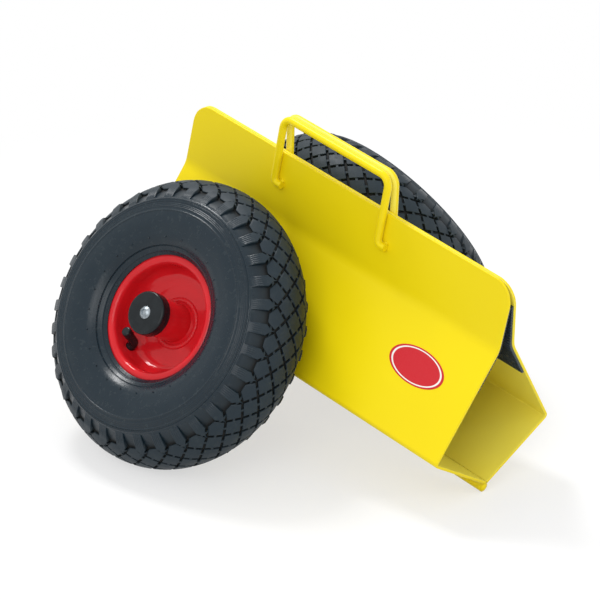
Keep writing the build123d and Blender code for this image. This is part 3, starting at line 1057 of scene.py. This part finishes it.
@dataclass
class Shoulder:
    """One pitch of a shoulder: the outer half of the last diamond, the ribbed lug beside it and the notch.

    Rows go round the tyre, and lanes down it from the crown to the wall.
    """

    tyre: "Tyre"
    inner_offset: float = 0.5
    lug_share: float = 0.58
    tip_shares: tuple[float, ...] = (0.06, 0.16, 0.26)
    late_share: float = 0.75
    corner_limits: tuple[float, ...] = (0.0, 0.5, 0.7, 0.85)
    notch_end_depth: float = 0.8 * MM
    notch_run_out: float = math.radians(1.5)
    notch_rows: int = 8
    notch_shares: tuple[float, ...] = (0.0, 0.35, 0.7)
    rib_places: tuple[float, ...] = (0.0, 0.42, 0.84)
    rib_foot: float = 0.13
    rib_height: float = 0.35 * MM
    rib_angles: tuple[float, ...] = tuple(np.radians((46.5, 49.0, 60.5, 62.5)))
    # How the painted groove shade fades across the shoulder.
    dark_fade: float = 0.1
    dark_notch: float = 0.35
    first_row: float = field(init=False)
    notch_ends: list[float] = field(init=False)
    slant: float = field(init=False)
    ties: list[float] = field(init=False)
    ends: list[float] = field(init=False)
    row: np.ndarray = field(init=False)
    angle: np.ndarray = field(init=False)
    on_lug: np.ndarray = field(init=False)
    flank: np.ndarray = field(init=False)
    share: np.ndarray = field(init=False)
    corner: np.ndarray = field(init=False)
    rib: np.ndarray = field(init=False)

    def __post_init__(self) -> None:
        """Lays out the rows, and takes the lanes apart into arrays."""
        tyre = self.tyre
        self.first_row = tyre.edge_row - 1.0
        self.notch_ends = [tyre.edge_angle, tyre.shoulder_end - self.notch_run_out, tyre.shoulder_end]
        run = tyre.section.half_width * (tyre.edge_angle - float(tyre.crown_angle(self.first_row)))
        side_run = math.hypot(run, self.lug_share / 2 * self.pitch_length(tyre.edge_angle))
        self.slant = run / side_run
        middle, block_end = self.first_row + 0.5, tyre.edge_row - tyre.groove_half / run
        tie, tie_foot = tyre.tie_half / side_run, (tyre.tie_half + tyre.tie_wall) / side_run
        self.ties = [middle - tie_foot, middle - tie, middle + tie, middle + tie_foot]
        self.ends = [block_end - tyre.block_round / run, block_end, block_end + tyre.groove_wall / run]
        tips = [self.first_row + share for share in self.tip_shares]
        rows = np.array([*tips, *self.ties, self.first_row + self.late_share, *self.ends])
        beyond = [*np.linspace(*self.notch_ends[:2], self.notch_rows), tyre.shoulder_end]
        self.angle = np.concatenate([tyre.crown_angle(rows), beyond])[:, None]
        self.row = np.concatenate([rows, np.full(len(beyond), tyre.edge_row)])[:, None]
        columns = zip(*map(astuple, self.lanes()))
        self.on_lug, self.flank, self.share, self.corner, self.rib = map(np.array, columns)

    def lanes(self) -> list[Lane]:
        """Lays out the lanes of one pitch, from the middle of a lug to the middle of the next.

        Returns:
            The lanes, in the direction of the turn.
        """
        rib_profile = ((-self.rib_foot, 0.0), (0.0, 1.0), (self.rib_foot, 0.0))
        ribs = sorted((place + step, rib) for place in self.rib_places for step, rib in rib_profile)
        lug = [Lane(True, 1, share, rib=rib) for share, rib in ribs if share >= 0.0]
        lug += [Lane(True, 1, 1.0, corner) for corner in (3, 2, 1, 0)]
        notch = [Lane(False, 1, share) for share in self.notch_shares]
        notch += [Lane(False, 1, 1.0, corner) for corner in (3, 2, 1)]
        back_notch, back_lug = ([replace(lane, flank=-1) for lane in part[:0:-1]] for part in (notch, lug))
        return lug + back_notch + notch + back_lug

    def pitch_length(self, angle: Values) -> Values:
        """Length of one pitch round the tyre, at an angle of its section."""
        return FULL_TURN * self.tyre.section.at(angle)[0] / self.tyre.pitches

    def places(self) -> np.ndarray:
        """Places of the points round the wheel.

        Returns:
            Rows of places, in pitches from the middle of the first lug.
        """
        lug_half = self.lug_share / 2 * (self.row - self.first_row)
        half = np.where(self.on_lug, lug_half, 0.5 - lug_half)
        slant = np.where(self.row < self.tyre.edge_row, self.slant, 1.0)
        wanted = self.tyre.groove_profile()[0][self.corner] / (slant * self.pitch_length(self.angle))
        inset = np.minimum(wanted, half * np.array(self.corner_limits)[self.corner])
        place = np.where(self.on_lug, 0.0, 0.5) + self.flank * self.share * (half - inset)
        return np.where(self.on_lug & (self.flank < 0), place + 1.0, place)

    def lifts(self) -> np.ndarray:
        """Heights of the points between the floor of the grooves and the tops of the blocks.

        Returns:
            Rows of shares, from 0 to 1.
        """
        tyre = self.tyre
        lift = tyre.groove_profile()[1][self.corner]
        block = np.interp(self.row, self.ends, [1.0, 1.0 - tyre.round_drop, 0.0])
        bars = tyre.tie_height * np.interp(self.row, self.ties, [0.0, 1.0, 1.0, 0.0])
        return np.maximum(np.where(self.on_lug, lift, lift * block), bars)

    def depths(self, lift: np.ndarray) -> np.ndarray:
        """Depths of the points below the oval.

        Args:
            lift: Their heights, as shares.

        Returns:
            Rows of depths; the ribs stand above the oval.
        """
        tyre = self.tyre
        notch = np.interp(self.angle, self.notch_ends, [tyre.notch_depth, self.notch_end_depth, 0.0])
        floor = np.where(self.row < tyre.edge_row, tyre.groove_floor(self.angle), notch)
        top = np.where(self.on_lug, 0.0, tyre.block_top(self.angle))
        ribs = self.rib * np.interp(self.angle, self.rib_angles, [0.0, 1.0, 1.0, 0.0])
        return floor + (np.minimum(top, floor) - floor) * lift - ribs * self.rib_height

    def shades(self, lift: np.ndarray) -> tuple[np.ndarray, np.ndarray]:
        """What the points carry for the finish.

        Args:
            lift: Their heights, as shares.

        Returns:
            How much painted shade each point gets in a groove, and how far it is on the tread.
        """
        start, end = self.tyre.edge_angle, self.tyre.shoulder_end
        # Painted shade in the grooves: full at the last diamonds, weaker in the notches, none at the wall.
        dark = np.interp(self.angle, [start, start + self.dark_fade, end], [1.0, self.dark_notch, 0.0])
        return (1.0 - lift) * dark, np.interp(self.angle, [start, end], [1.0, 0.0])

    def add(self, face: WheelFace) -> tuple[Ring, Ring]:
        """Adds the pitches one after another to the tyre's mesh.

        Args:
            face: Which shoulder.

        Returns:
            The shoulder's two rings, the one nearer to the outside last.
        """
        tyre, place, lift = self.tyre, self.places(), self.lifts()
        one_pitch = (face * self.angle, self.depths(lift), *self.shades(lift))
        angle, depth, groove, tread = (
            np.tile(np.broadcast_to(values, lift.shape), tyre.pitches) for values in one_pitch
        )
        offset = self.inner_offset if face is WheelFace.INSIDE else 0.0
        pitch = np.arange(tyre.pitches)[:, None] + offset
        turn = tyre.turn_at((pitch + place[:, None, :]).reshape(angle.shape))
        grid = tyre.add_points(turn, angle, depth, groove=groove, tread=tread)[::face]
        turn = turn[::face]
        tyre.skin.bridge(grid)
        return Ring(grid[0], turn[0]), Ring(grid[-1], turn[-1])


@dataclass
class Tyre:
    """Moulded tyre: diamonds with tie bars on the crown, and shoulders and walls on both sides."""

    axes: HalfAxes
    pitches: int = 34
    edge_row: float = 3.5
    row_angle: float = math.radians(14.3)
    row_narrowing: float = math.radians(0.55)
    phase: float = math.radians(-0.3)
    tread_depth: float = 2.5 * MM
    crown_drop: float = 2.6 * MM
    notch_depth: float = 4.2 * MM
    groove_half: float = 1.1 * MM
    groove_wall: float = 0.2 * MM
    block_round: float = 0.35 * MM
    round_drop: float = 0.12
    tie_half: float = 1.1 * MM
    tie_wall: float = 0.3 * MM
    tie_height: float = 0.85
    shoulder_end: float = math.radians(64.0)
    wall: TyreWall = TyreWall()
    wall_columns: int = 5
    nubs: VentNubs = VentNubs()
    sharp: float = math.radians(38)
    section: TyreSection = field(init=False)
    edge_angle: float = field(init=False)
    skin: Skin = field(init=False, default_factory=Skin)

    def __post_init__(self) -> None:
        """Measures the frame's tyre."""
        self.section = TyreSection.read(self.axes)
        self.edge_angle = float(self.crown_angle(self.edge_row))

    def crown_angle(self, row: Values) -> Values:
        """Angle of a row of tread junctions, counted from the crown."""
        return np.sign(row) * (self.row_angle * np.abs(row) - self.row_narrowing * row**2)

    def turn_at(self, pitch: np.ndarray) -> np.ndarray:
        """Angle round the wheel, for a place counted in pitches. The far tyre is a mirror image."""
        phase = self.phase if self.axes.side is Side.NEAR else -self.phase
        return phase + pitch * FULL_TURN / self.pitches

    def groove_profile(self) -> tuple[np.ndarray, np.ndarray]:
        """Side of a groove, from its middle line to the rounded edge of the block.

        Returns:
            Distances of its corners from the middle line, and their heights as shares of the block's.
        """
        foot = self.groove_half + self.groove_wall
        away = np.array([0.0, self.groove_half, foot, foot + self.block_round])
        return away, np.array([0.0, 0.0, 1.0 - self.round_drop, 1.0])

    def arc_depth(self, angle: np.ndarray, at_crown: float, at_edge: float) -> np.ndarray:
        """Depth of a round arc below the oval.

        Args:
            angle: From the crown, in radians.
            at_crown: Depth of the arc at the crown.
            at_edge: Depth of the arc at the edge of the diamonds.

        Returns:
            The depth at each angle.
        """
        section = self.section
        top = section.half_height - at_crown
        across = (section.half_width - at_edge) * math.sin(self.edge_angle)
        fall = top - (section.half_height - at_edge) * math.cos(self.edge_angle)
        arc = (across**2 + fall**2) / (2 * fall)
        rise = top - arc
        return section.half_height - rise * np.cos(angle) - np.sqrt(arc**2 - (rise * np.sin(angle)) ** 2)

    def block_top(self, angle: np.ndarray) -> np.ndarray:
        """Depth of the tops of the diamonds below the oval."""
        return self.arc_depth(angle, 0.0, self.crown_drop)

    def groove_floor(self, angle: np.ndarray) -> np.ndarray:
        """Depth of the floors of the grooves below the oval."""
        return self.arc_depth(angle, self.tread_depth, self.notch_depth)

    def add_points(self, turn: Values, angle: Values, depth: Values, **layers: Values) -> np.ndarray:
        """Adds points on the section's surface.

        Args:
            turn: Angles round the wheel.
            angle: Angles round the section.
            depth: Depths below the surface.
            layers: Values that the points carry for the finish.

        Returns:
            The points' numbers, in the shape of the angles.
        """
        radius, station = self.section.at(angle, depth)
        points = self.axes.round_wheel(turn, radius, station)
        return self.skin.add(points, reach=radius, **layers).reshape(radius.shape)

    def add_crown(self) -> tuple[Ring, Ring]:
        """Adds the diamonds. Two families of grooves cross: one leans with the turn, one against it.

        Returns:
            The inner and the outer ring, through the middle of the last diamonds.
        """
        half_pitch = math.pi * (self.section.core + self.section.half_height) / self.pitches
        row_run = self.row_angle * self.section.half_width
        block = 2 * half_pitch * row_run / math.hypot(half_pitch, row_run)
        corners, heights = self.groove_profile()
        bar = block / 2 - self.tie_half
        start = np.array([*corners, bar - self.tie_wall, bar]) / block
        knots = np.concatenate([start, 1.0 - start[:0:-1]])

        rows = int(2 * self.edge_row) - 2
        lattice = np.concatenate([knots + whole for whole in range(self.pitches + rows + 1)])
        row_steps, ring_steps = np.arange(rows * len(knots) + 1), np.arange(self.pitches * len(knots))
        spread, second = np.meshgrid(row_steps, ring_steps, indexing="ij")
        leaning, against = lattice[spread + second], lattice[second]
        aways = [block * np.abs(place - np.round(place)) for place in (leaning, against)]
        rises = [np.interp(away, corners, heights) for away in aways]
        bars = [np.interp(away, (bar - self.tie_wall, bar), (0.0, self.tie_height)) for away in aways]
        lift = np.minimum(np.maximum(rises[0], bars[1]), np.maximum(rises[1], bars[0]))

        angle = self.crown_angle(leaning - against - rows / 2)
        floor = self.groove_floor(angle)
        turn = self.turn_at((leaning + against + 1.0) / 2)
        depth = floor + (self.block_top(angle) - floor) * lift
        # Points low in a groove carry painted shade for the finish.
        grid = self.add_points(turn, angle, depth, groove=1.0 - lift, tread=1.0)
        # The cells are diamonds of the lattice, halved to triangles along the two rings.
        after = np.roll(grid, -1, axis=1)
        self.skin.take(np.stack([grid[1:-1], after[:-2], after[1:-1], grid[2:]], axis=-1))
        self.skin.take(np.stack([grid[0], after[0], grid[1]], axis=-1))
        self.skin.take(np.stack([grid[-1], after[-2], after[-1]], axis=-1))
        return Ring(grid[0], turn[0]), Ring(grid[-1], turn[-1])

    def add_walls(self) -> tuple[Ring, Ring]:
        """Adds both walls, the beads and the air space as one strip.

        Returns:
            The strip's rings below the outer and below the inner shoulder.
        """
        half = self.wall.profile(self.section, self.shoulder_end)
        radius, station = np.concatenate([half, (half * (1, -1))[-2::-1]]).T[:, :, None]
        turn = even_turns(self.pitches * self.wall_columns)
        points = self.axes.round_wheel(turn, radius, station)
        reach = np.broadcast_to(radius, (len(radius), len(turn)))
        grid = self.skin.add(points, reach=reach, groove=0.0, tread=0.0).reshape(reach.shape)
        self.skin.bridge(grid)
        return Ring(grid[0], turn), Ring(grid[-1], turn)

    def build(self) -> bpy.types.Object:
        """Builds the tyre in place of the frame's own.

        Returns:
            The piece.
        """
        shoulder = Shoulder(self)
        crown_in, crown_out = self.add_crown()
        outer_top, outer_foot = shoulder.add(WheelFace.OUTSIDE)
        inner_foot, inner_top = shoulder.add(WheelFace.INSIDE)
        wall_out, wall_in = self.add_walls()
        self.skin.zip_rings(crown_out, outer_top)
        self.skin.zip_rings(outer_foot, wall_out)
        self.skin.zip_rings(wall_in, inner_foot)
        self.skin.zip_rings(inner_top, crown_in)
        for face in WheelFace:
            self.nubs.add_to(self, face)
        name = self.axes.side.name_of
        return self.skin.to_piece(
            name("moulded_tyre"), name("wheel"), TYRE_RUBBER, name("tyre"), sharp=self.sharp
        )


# Welds and badge


@dataclass
class WeldBead:
    """Rippled weld bead along a straight corner."""

    start: np.ndarray
    end: np.ndarray
    out: np.ndarray
    half_width: float
    half_height: float
    ripple: float = 1.7 * MM
    ripple_share: float = 0.12
    ripple_steps: int = 6
    least_steps: int = 12
    sides: int = 12

    def add_to(self, skin: Skin) -> None:
        """Adds the bead's closed mesh.

        Args:
            skin: Mesh to add to.
        """
        length = float(np.linalg.norm(self.end - self.start))
        forward = (self.end - self.start) / length
        out = self.out - forward * (self.out @ forward)
        out = out / np.linalg.norm(out)
        across = np.cross(out, forward)
        steps = max(self.least_steps, int(self.ripple_steps * length / self.ripple))
        place = np.linspace(0.0, length, steps + 1)[1:-1]
        from_tip = np.clip(np.minimum(place, length - place) / self.half_width, 0.0, 1.0)
        taper = np.sqrt(1.0 - (1.0 - from_tip) ** 2)
        wave = 1.0 + self.ripple_share * np.sin(FULL_TURN * place / self.ripple)
        angle = even_turns(self.sides)
        ring = np.outer(np.cos(angle) * self.half_width, across)
        ring = ring + np.outer(np.sin(angle) * self.half_height, out)
        line = self.start + np.outer(place, forward)
        points = line[:, None, :] + (taper * wave)[:, None, None] * ring
        grid = skin.add(points.reshape(-1, 3)).reshape(len(place), self.sides)
        tips = skin.add(np.stack([self.start, self.end]))
        skin.bridge(grid)
        skin.close(grid[0], tips[0])
        skin.close(grid[-1, ::-1], tips[1])


@dataclass
class HubWeld:
    """Rippled weld bead round the root of a hub, on the floor of the outer dish."""

    axes: HalfAxes
    half_width: float = 2.4 * MM
    half_height: float = 1.8 * MM
    standoff_share: float = 0.5
    ripples: int = 44
    ripple_share: float = 0.07
    ripple_steps: int = 6
    sides: int = 14

    def build(self) -> bpy.types.Object:
        """Builds the bead as a closed ring.

        Returns:
            The piece.
        """
        hub = self.axes.wheel_reach("hub")[0].max()
        radius, station = self.axes.wheel_reach("rim_outer")
        floor = station[radius < hub + self.half_width].max()
        turn = even_turns(self.ripples * self.ripple_steps)
        size = 1.0 + self.ripple_share * np.sin(self.ripples * turn)
        angle = even_turns(self.sides)[:, None]
        reach = hub + self.half_width * (self.standoff_share + size * np.cos(angle))
        height = floor + self.half_height * size * np.sin(angle)
        skin = Skin()
        grid = skin.add(self.axes.round_wheel(turn, reach, height)).reshape(reach.shape)
        skin.bridge(np.concatenate([grid, grid[:1]]))
        name = self.axes.side.name_of
        return skin.to_piece(name("hub_weld"), name("wheel"), RIM_ENAMEL)


@dataclass
class JawHalf:
    """Faces of one bent half, measured on the frame's jaw plate."""

    axes: HalfAxes
    jaw_bend: float = math.radians(25.6)
    jaw_band: float = 5.0 * MM
    flare_band: float = 40.0 * MM
    jaw_up: np.ndarray = field(init=False)
    jaw_out: np.ndarray = field(init=False)
    jaw_top: float = field(init=False)
    jaw_face: float = field(init=False)
    return_height: float = field(init=False)
    flare_face: float = field(init=False)

    def __post_init__(self) -> None:
        """Measures the top and the outer face of the jaw, the low face of the return plate and the flare."""
        axes = self.axes
        self.jaw_up = axes.outward * math.sin(self.jaw_bend) + axes.rise * math.cos(self.jaw_bend)
        self.jaw_out = axes.outward * math.cos(self.jaw_bend) - axes.rise * math.sin(self.jaw_bend)
        plate = self.from_hinge("jaw_plate")
        climb, height = plate @ self.jaw_up, plate @ axes.rise
        self.jaw_top = climb.max()
        self.jaw_face = (plate @ self.jaw_out)[climb > self.jaw_top - self.jaw_band].max()
        self.return_height = height.min()
        self.flare_face = (plate @ axes.outward)[height < self.flare_band].max()

    def from_hinge(self, piece: str) -> np.ndarray:
        """Corners of one of this half's nodes, from the hinge."""
        return node_points(self.axes.side.name_of(piece)) - self.axes.cart.hinge

    def on_jaw(self, station: float, climb: float, standoff: float) -> np.ndarray:
        """Point off the jaw's outer face.

        Args:
            station: Along the hinge, from mid length.
            climb: Up the jaw, from its top edge.
            standoff: Out from its face.

        Returns:
            The point.
        """
        up, out = self.jaw_up * (self.jaw_top + climb), self.jaw_out * (self.jaw_face + standoff)
        return self.axes.cart.hinge + self.axes.cart.along * station + up + out

    def on_section(self, station: float, reach: float, height: float) -> np.ndarray:
        """Point in the half's section: along the hinge, outward along the return plate, and up the flare."""
        axes = self.axes
        return axes.cart.hinge + axes.cart.along * station + axes.outward * reach + axes.rise * height


@dataclass
class HandleWelds:
    """Weld beads above and below the two feet of a handle."""

    half: JawHalf
    rod_diameter: float = 7.0 * MM
    foot_length: float = 10.0 * MM
    foot_drop: float = 29.0 * MM
    bead_offset: float = 3.15 * MM
    bead_half_width: float = 1.5 * MM
    bead_half_height: float = 1.3 * MM
    standoff: float = 0.3 * MM
    start_above: float = 1.5 * MM
    start_below: float = -1.0 * MM
    end_gap: float = 0.5 * MM

    def build(self) -> bpy.types.Object:
        """Builds the beads.

        Returns:
            The piece.
        """
        half, skin = self.half, Skin()
        along = half.from_hinge("handle") @ half.axes.cart.along
        for leg in (along.min() + self.rod_diameter / 2, along.max() - self.foot_length):
            for way, start_gap in ((-1, self.start_below), (1, self.start_above)):
                climb = way * self.bead_offset - self.foot_drop
                ends = (leg + self.rod_diameter / 2 + start_gap, leg + self.foot_length - self.end_gap)
                start, end = (half.on_jaw(station, climb, self.standoff) for station in ends)
                WeldBead(start, end, half.jaw_out, self.bead_half_width, self.bead_half_height).add_to(skin)
        name = half.axes.side.name_of
        return skin.to_piece(name("handle_welds"), name("half"), POWDER_COAT)


@dataclass
class AxleWelds:
    """Two weld beads along an axle, under the return plate."""

    half: JawHalf
    bead_offset: float = 4.0 * MM
    bead_half_width: float = 3.2 * MM
    bead_half_height: float = 1.9 * MM
    ripple: float = 2.4 * MM
    drop: float = 0.8 * MM
    start_gap: float = 4.0 * MM
    end_gap: float = 6.0 * MM

    def build(self) -> bpy.types.Object:
        """Builds the beads.

        Returns:
            The piece.
        """
        half, skin = self.half, Skin()
        axle = half.from_hinge("axle")
        along = axle @ half.axes.cart.along
        height = half.return_height - self.drop
        sizes = (self.bead_half_width, self.bead_half_height, self.ripple)
        reaches = ((axle @ half.axes.outward).min() + self.start_gap, half.flare_face - self.end_gap)
        for way in (-1, 1):
            station = (along.min() + along.max()) / 2 + way * self.bead_offset
            start, end = (half.on_section(station, reach, height) for reach in reaches)
            WeldBead(start, end, -half.axes.rise, *sizes).add_to(skin)
        name = half.axes.side.name_of
        return skin.to_piece(name("axle_welds"), name("half"), POWDER_COAT)


@dataclass
class Badge:
    """Blank oval badge stuck on a flare."""

    half: JawHalf
    station: float = 133.0 * MM
    height: float = 68.0 * MM
    half_length: float = 31.5 * MM
    half_height: float = 16.0 * MM
    thickness: float = 0.25 * MM
    flat_shares: tuple[float, ...] = (0.2, 0.4, 0.6, 0.8, *BADGE_VINYL.line, 0.985)
    edge_profile: Profile = ((1.0, 0.7), (1.0, -0.2))
    columns: int = 96
    sharp: float = math.radians(50)

    def build(self) -> bpy.types.Object:
        """Builds the badge as a thin closed disc.

        Returns:
            The piece.
        """
        axes, skin = self.half.axes, Skin()
        profile = np.array([(share, 1.0) for share in self.flat_shares] + list(self.edge_profile))
        share, lift = profile[:, 0], profile[:, 1] * self.thickness
        angle = even_turns(self.columns)
        oval = np.outer(np.cos(angle) * self.half_length, axes.cart.along)
        oval = oval + np.outer(np.sin(angle) * self.half_height, axes.rise)
        middles = self.half.on_section(self.station, self.half.flare_face, self.height)
        middles = middles + np.outer(lift, axes.outward)
        points = middles[:, None, :] + share[:, None, None] * oval
        shares = np.repeat(share, self.columns)
        grid = skin.add(points.reshape(-1, 3), share=shares).reshape(points.shape[:2])
        poles = skin.add(middles[[0, -1]], share=0.0)
        skin.bridge(grid[::-1])
        skin.close(grid[-1], poles[1])
        skin.close(grid[0, ::-1], poles[0])
        name = axes.side.name_of
        return skin.to_piece(name("blank_badge"), name("half"), BADGE_VINYL, sharp=self.sharp)


# Studio


@dataclass(frozen=True)
class PhotoCamera:
    """Camera at the photo's viewing angle, given in the cart's own directions."""

    cart: CartAxes
    azimuth: float = math.radians(43.509)
    elevation: float = math.radians(30.852)
    roll: float = math.radians(6.264)
    aside: float = 25.194 * MM
    raised: float = -77.817 * MM
    distance: float = 2994.086 * MM
    focal_pixels: float = 3315.367

    def build(self) -> bpy.types.Object:
        """Builds the camera and makes it the scene's.

        Returns:
            The camera.
        """
        cart, level = self.cart, math.cos(self.elevation)
        right = math.cos(self.azimuth) * cart.along + math.sin(self.azimuth) * cart.across
        front = math.sin(self.azimuth) * cart.along - math.cos(self.azimuth) * cart.across
        back = level * front + math.sin(self.elevation) * cart.up
        above = np.cross(back, right)
        turned = math.cos(self.roll) * right + math.sin(self.roll) * above
        above = math.cos(self.roll) * above - math.sin(self.roll) * right
        eye = cart.hinge - self.aside * turned - self.raised * above + self.distance * back
        data = bpy.data.cameras.new("photo_camera")
        data.sensor_width = SENSOR_WIDTH
        data.lens = self.focal_pixels / IMAGE_SIDE * SENSOR_WIDTH
        camera = bpy.data.objects.new("photo_camera", data)
        place = Matrix((turned, above, back)).transposed().to_4x4()
        place.translation = Vector(eye)
        camera.matrix_world = place
        bpy.context.scene.collection.objects.link(camera)
        bpy.context.scene.camera = camera
        return camera


@dataclass(frozen=True)
class Lamp:
    """Soft square lamp that faces the cart."""

    name: str
    place: tuple[float, float, float]
    size: float
    power: float

    def build(self, target: Vector) -> None:
        """Builds the lamp.

        Args:
            target: Point that it faces.
        """
        data = bpy.data.lights.new(self.name, "AREA")
        data.size = self.size
        data.energy = self.power
        lamp = bpy.data.objects.new(self.name, data)
        lamp.location = self.place
        lamp.rotation_euler = (target - lamp.location).to_track_quat("-Z", "Y").to_euler()
        bpy.context.scene.collection.objects.link(lamp)


@dataclass(frozen=True)
class Studio:
    """Pale floor, white surround and soft lamps."""

    floor_side: float = 8.0
    floor_drop: float = 0.3 * MM
    floor_bounce: float = 0.7
    floor_seen: float = 0.9
    floor_glow: float = 0.6
    shadow_reach: tuple[float, float] = (0.35, 0.8)
    surround: float = 0.8
    lamps: tuple[Lamp, ...] = (
        Lamp("overhead_lamp", (-0.95, 0.1, 1.85), 0.5, 20.0),
        Lamp("side_lamp", (1.6, 0.95, 0.65), 0.22, 5.0),
        Lamp("front_lamp", (1.0, -1.7, 1.4), 1.4, 13.5),
    )

    @staticmethod
    def seen_by_eye(graph: Graph) -> Wire:
        """1 for rays from the camera, from a mirror or through glass, and 0 for light that bounces.

        Args:
            graph: Graph to add to.

        Returns:
            That mask.
        """
        path = graph.node("ShaderNodeLightPath")
        camera, glossy, clear = (
            Wire(graph, path.outputs[f"Is {kind} Ray"]) for kind in ("Camera", "Glossy", "Transmission")
        )
        return graph.math("MINIMUM", camera + glossy + clear, 1.0)

    def floor_material(self) -> bpy.types.Material:
        """Material of the floor: white to the eye, with the cart's shadow, and grey to light that bounces.

        Returns:
            The material.
        """
        material = bpy.data.materials.new("pale_floor")
        material.use_nodes = True
        graph = Graph(material.node_tree)
        seen = self.seen_by_eye(graph)
        grey = seen * (self.floor_seen - self.floor_bounce) + self.floor_bounce
        colour = graph.wire("ShaderNodeCombineColor", None, {0: grey, 1: grey, 2: grey})
        matt = graph.wire("ShaderNodeBsdfDiffuse", None, {"Color": colour})
        glow = graph.wire("ShaderNodeEmission", None, {"Strength": 1.0})
        away = graph.wire("ShaderNodeVectorMath", {"operation": "LENGTH"}, {0: graph.place()}, "Value")
        share = seen * graph.span(away, *self.shadow_reach, self.floor_glow, 1.0)
        mixed = graph.wire("ShaderNodeMixShader", None, {0: share, 1: matt, 2: glow})
        graph.node("ShaderNodeOutputMaterial", None, {"Surface": mixed})
        return material

    def build_floor(self) -> None:
        """Builds the floor, a hair below the tyres."""
        half = self.floor_side / 2
        corners = ((-half, -half), (half, -half), (half, half), (-half, half))
        mesh = bpy.data.meshes.new("floor")
        mesh.from_pydata([(*corner, -self.floor_drop) for corner in corners], [], [(0, 1, 2, 3)])
        mesh.materials.append(self.floor_material())
        floor = bpy.data.objects.new("floor", mesh)
        bpy.context.scene.collection.objects.link(floor)

    def build_surround(self) -> None:
        """Fills the world: white to the eye, dimmer as light."""
        world = bpy.data.worlds.new("surround")
        world.use_nodes = True
        graph = Graph(world.node_tree)
        strength = self.seen_by_eye(graph) * (1.0 - self.surround) + self.surround
        feeds = {"Color": graph.rgba((1.0, 1.0, 1.0)), "Strength": strength}
        light = graph.wire("ShaderNodeBackground", None, feeds)
        graph.node("ShaderNodeOutputWorld", None, {"Surface": light})
        bpy.context.scene.world = world

    def build(self) -> None:
        """Builds the studio and sets the plain view transform."""
        self.build_floor()
        self.build_surround()
        low, high = (Vector(corner) for corner in CAD_BOX)
        for lamp in self.lamps:
            lamp.build((low + high) / 2)
        bpy.context.scene.view_settings.view_transform = "Standard"


def dress_frame() -> None:
    """Gives each node of the frame the finish of its material slot."""
    for row in frame["record"]["subparts"]:
        node = frame["nodes"][row["node"]]
        finish = SLOT_FINISHES[row["material_slot"]]
        node.data.materials.clear()
        node.data.materials.append(finish.material())
        LOG.info("%s has %s", row["node"], finish.name)


def main() -> None:
    """Builds the dressed cart, the studio and the camera."""
    logging.basicConfig(level=logging.INFO, format="%(name)s: %(message)s")
    cart = CartAxes.read()
    dress_frame()
    for side in Side:
        axes = HalfAxes.read(cart, side)
        half = JawHalf(axes)
        for sub_assembly in (Tyre(axes), HubWeld(axes), HandleWelds(half), AxleWelds(half)):
            sub_assembly.build()
        if side is Side.NEAR:
            Badge(half).build()
    Studio().build()
    PhotoCamera(cart).build()


if __name__ == "__main__":
    main()
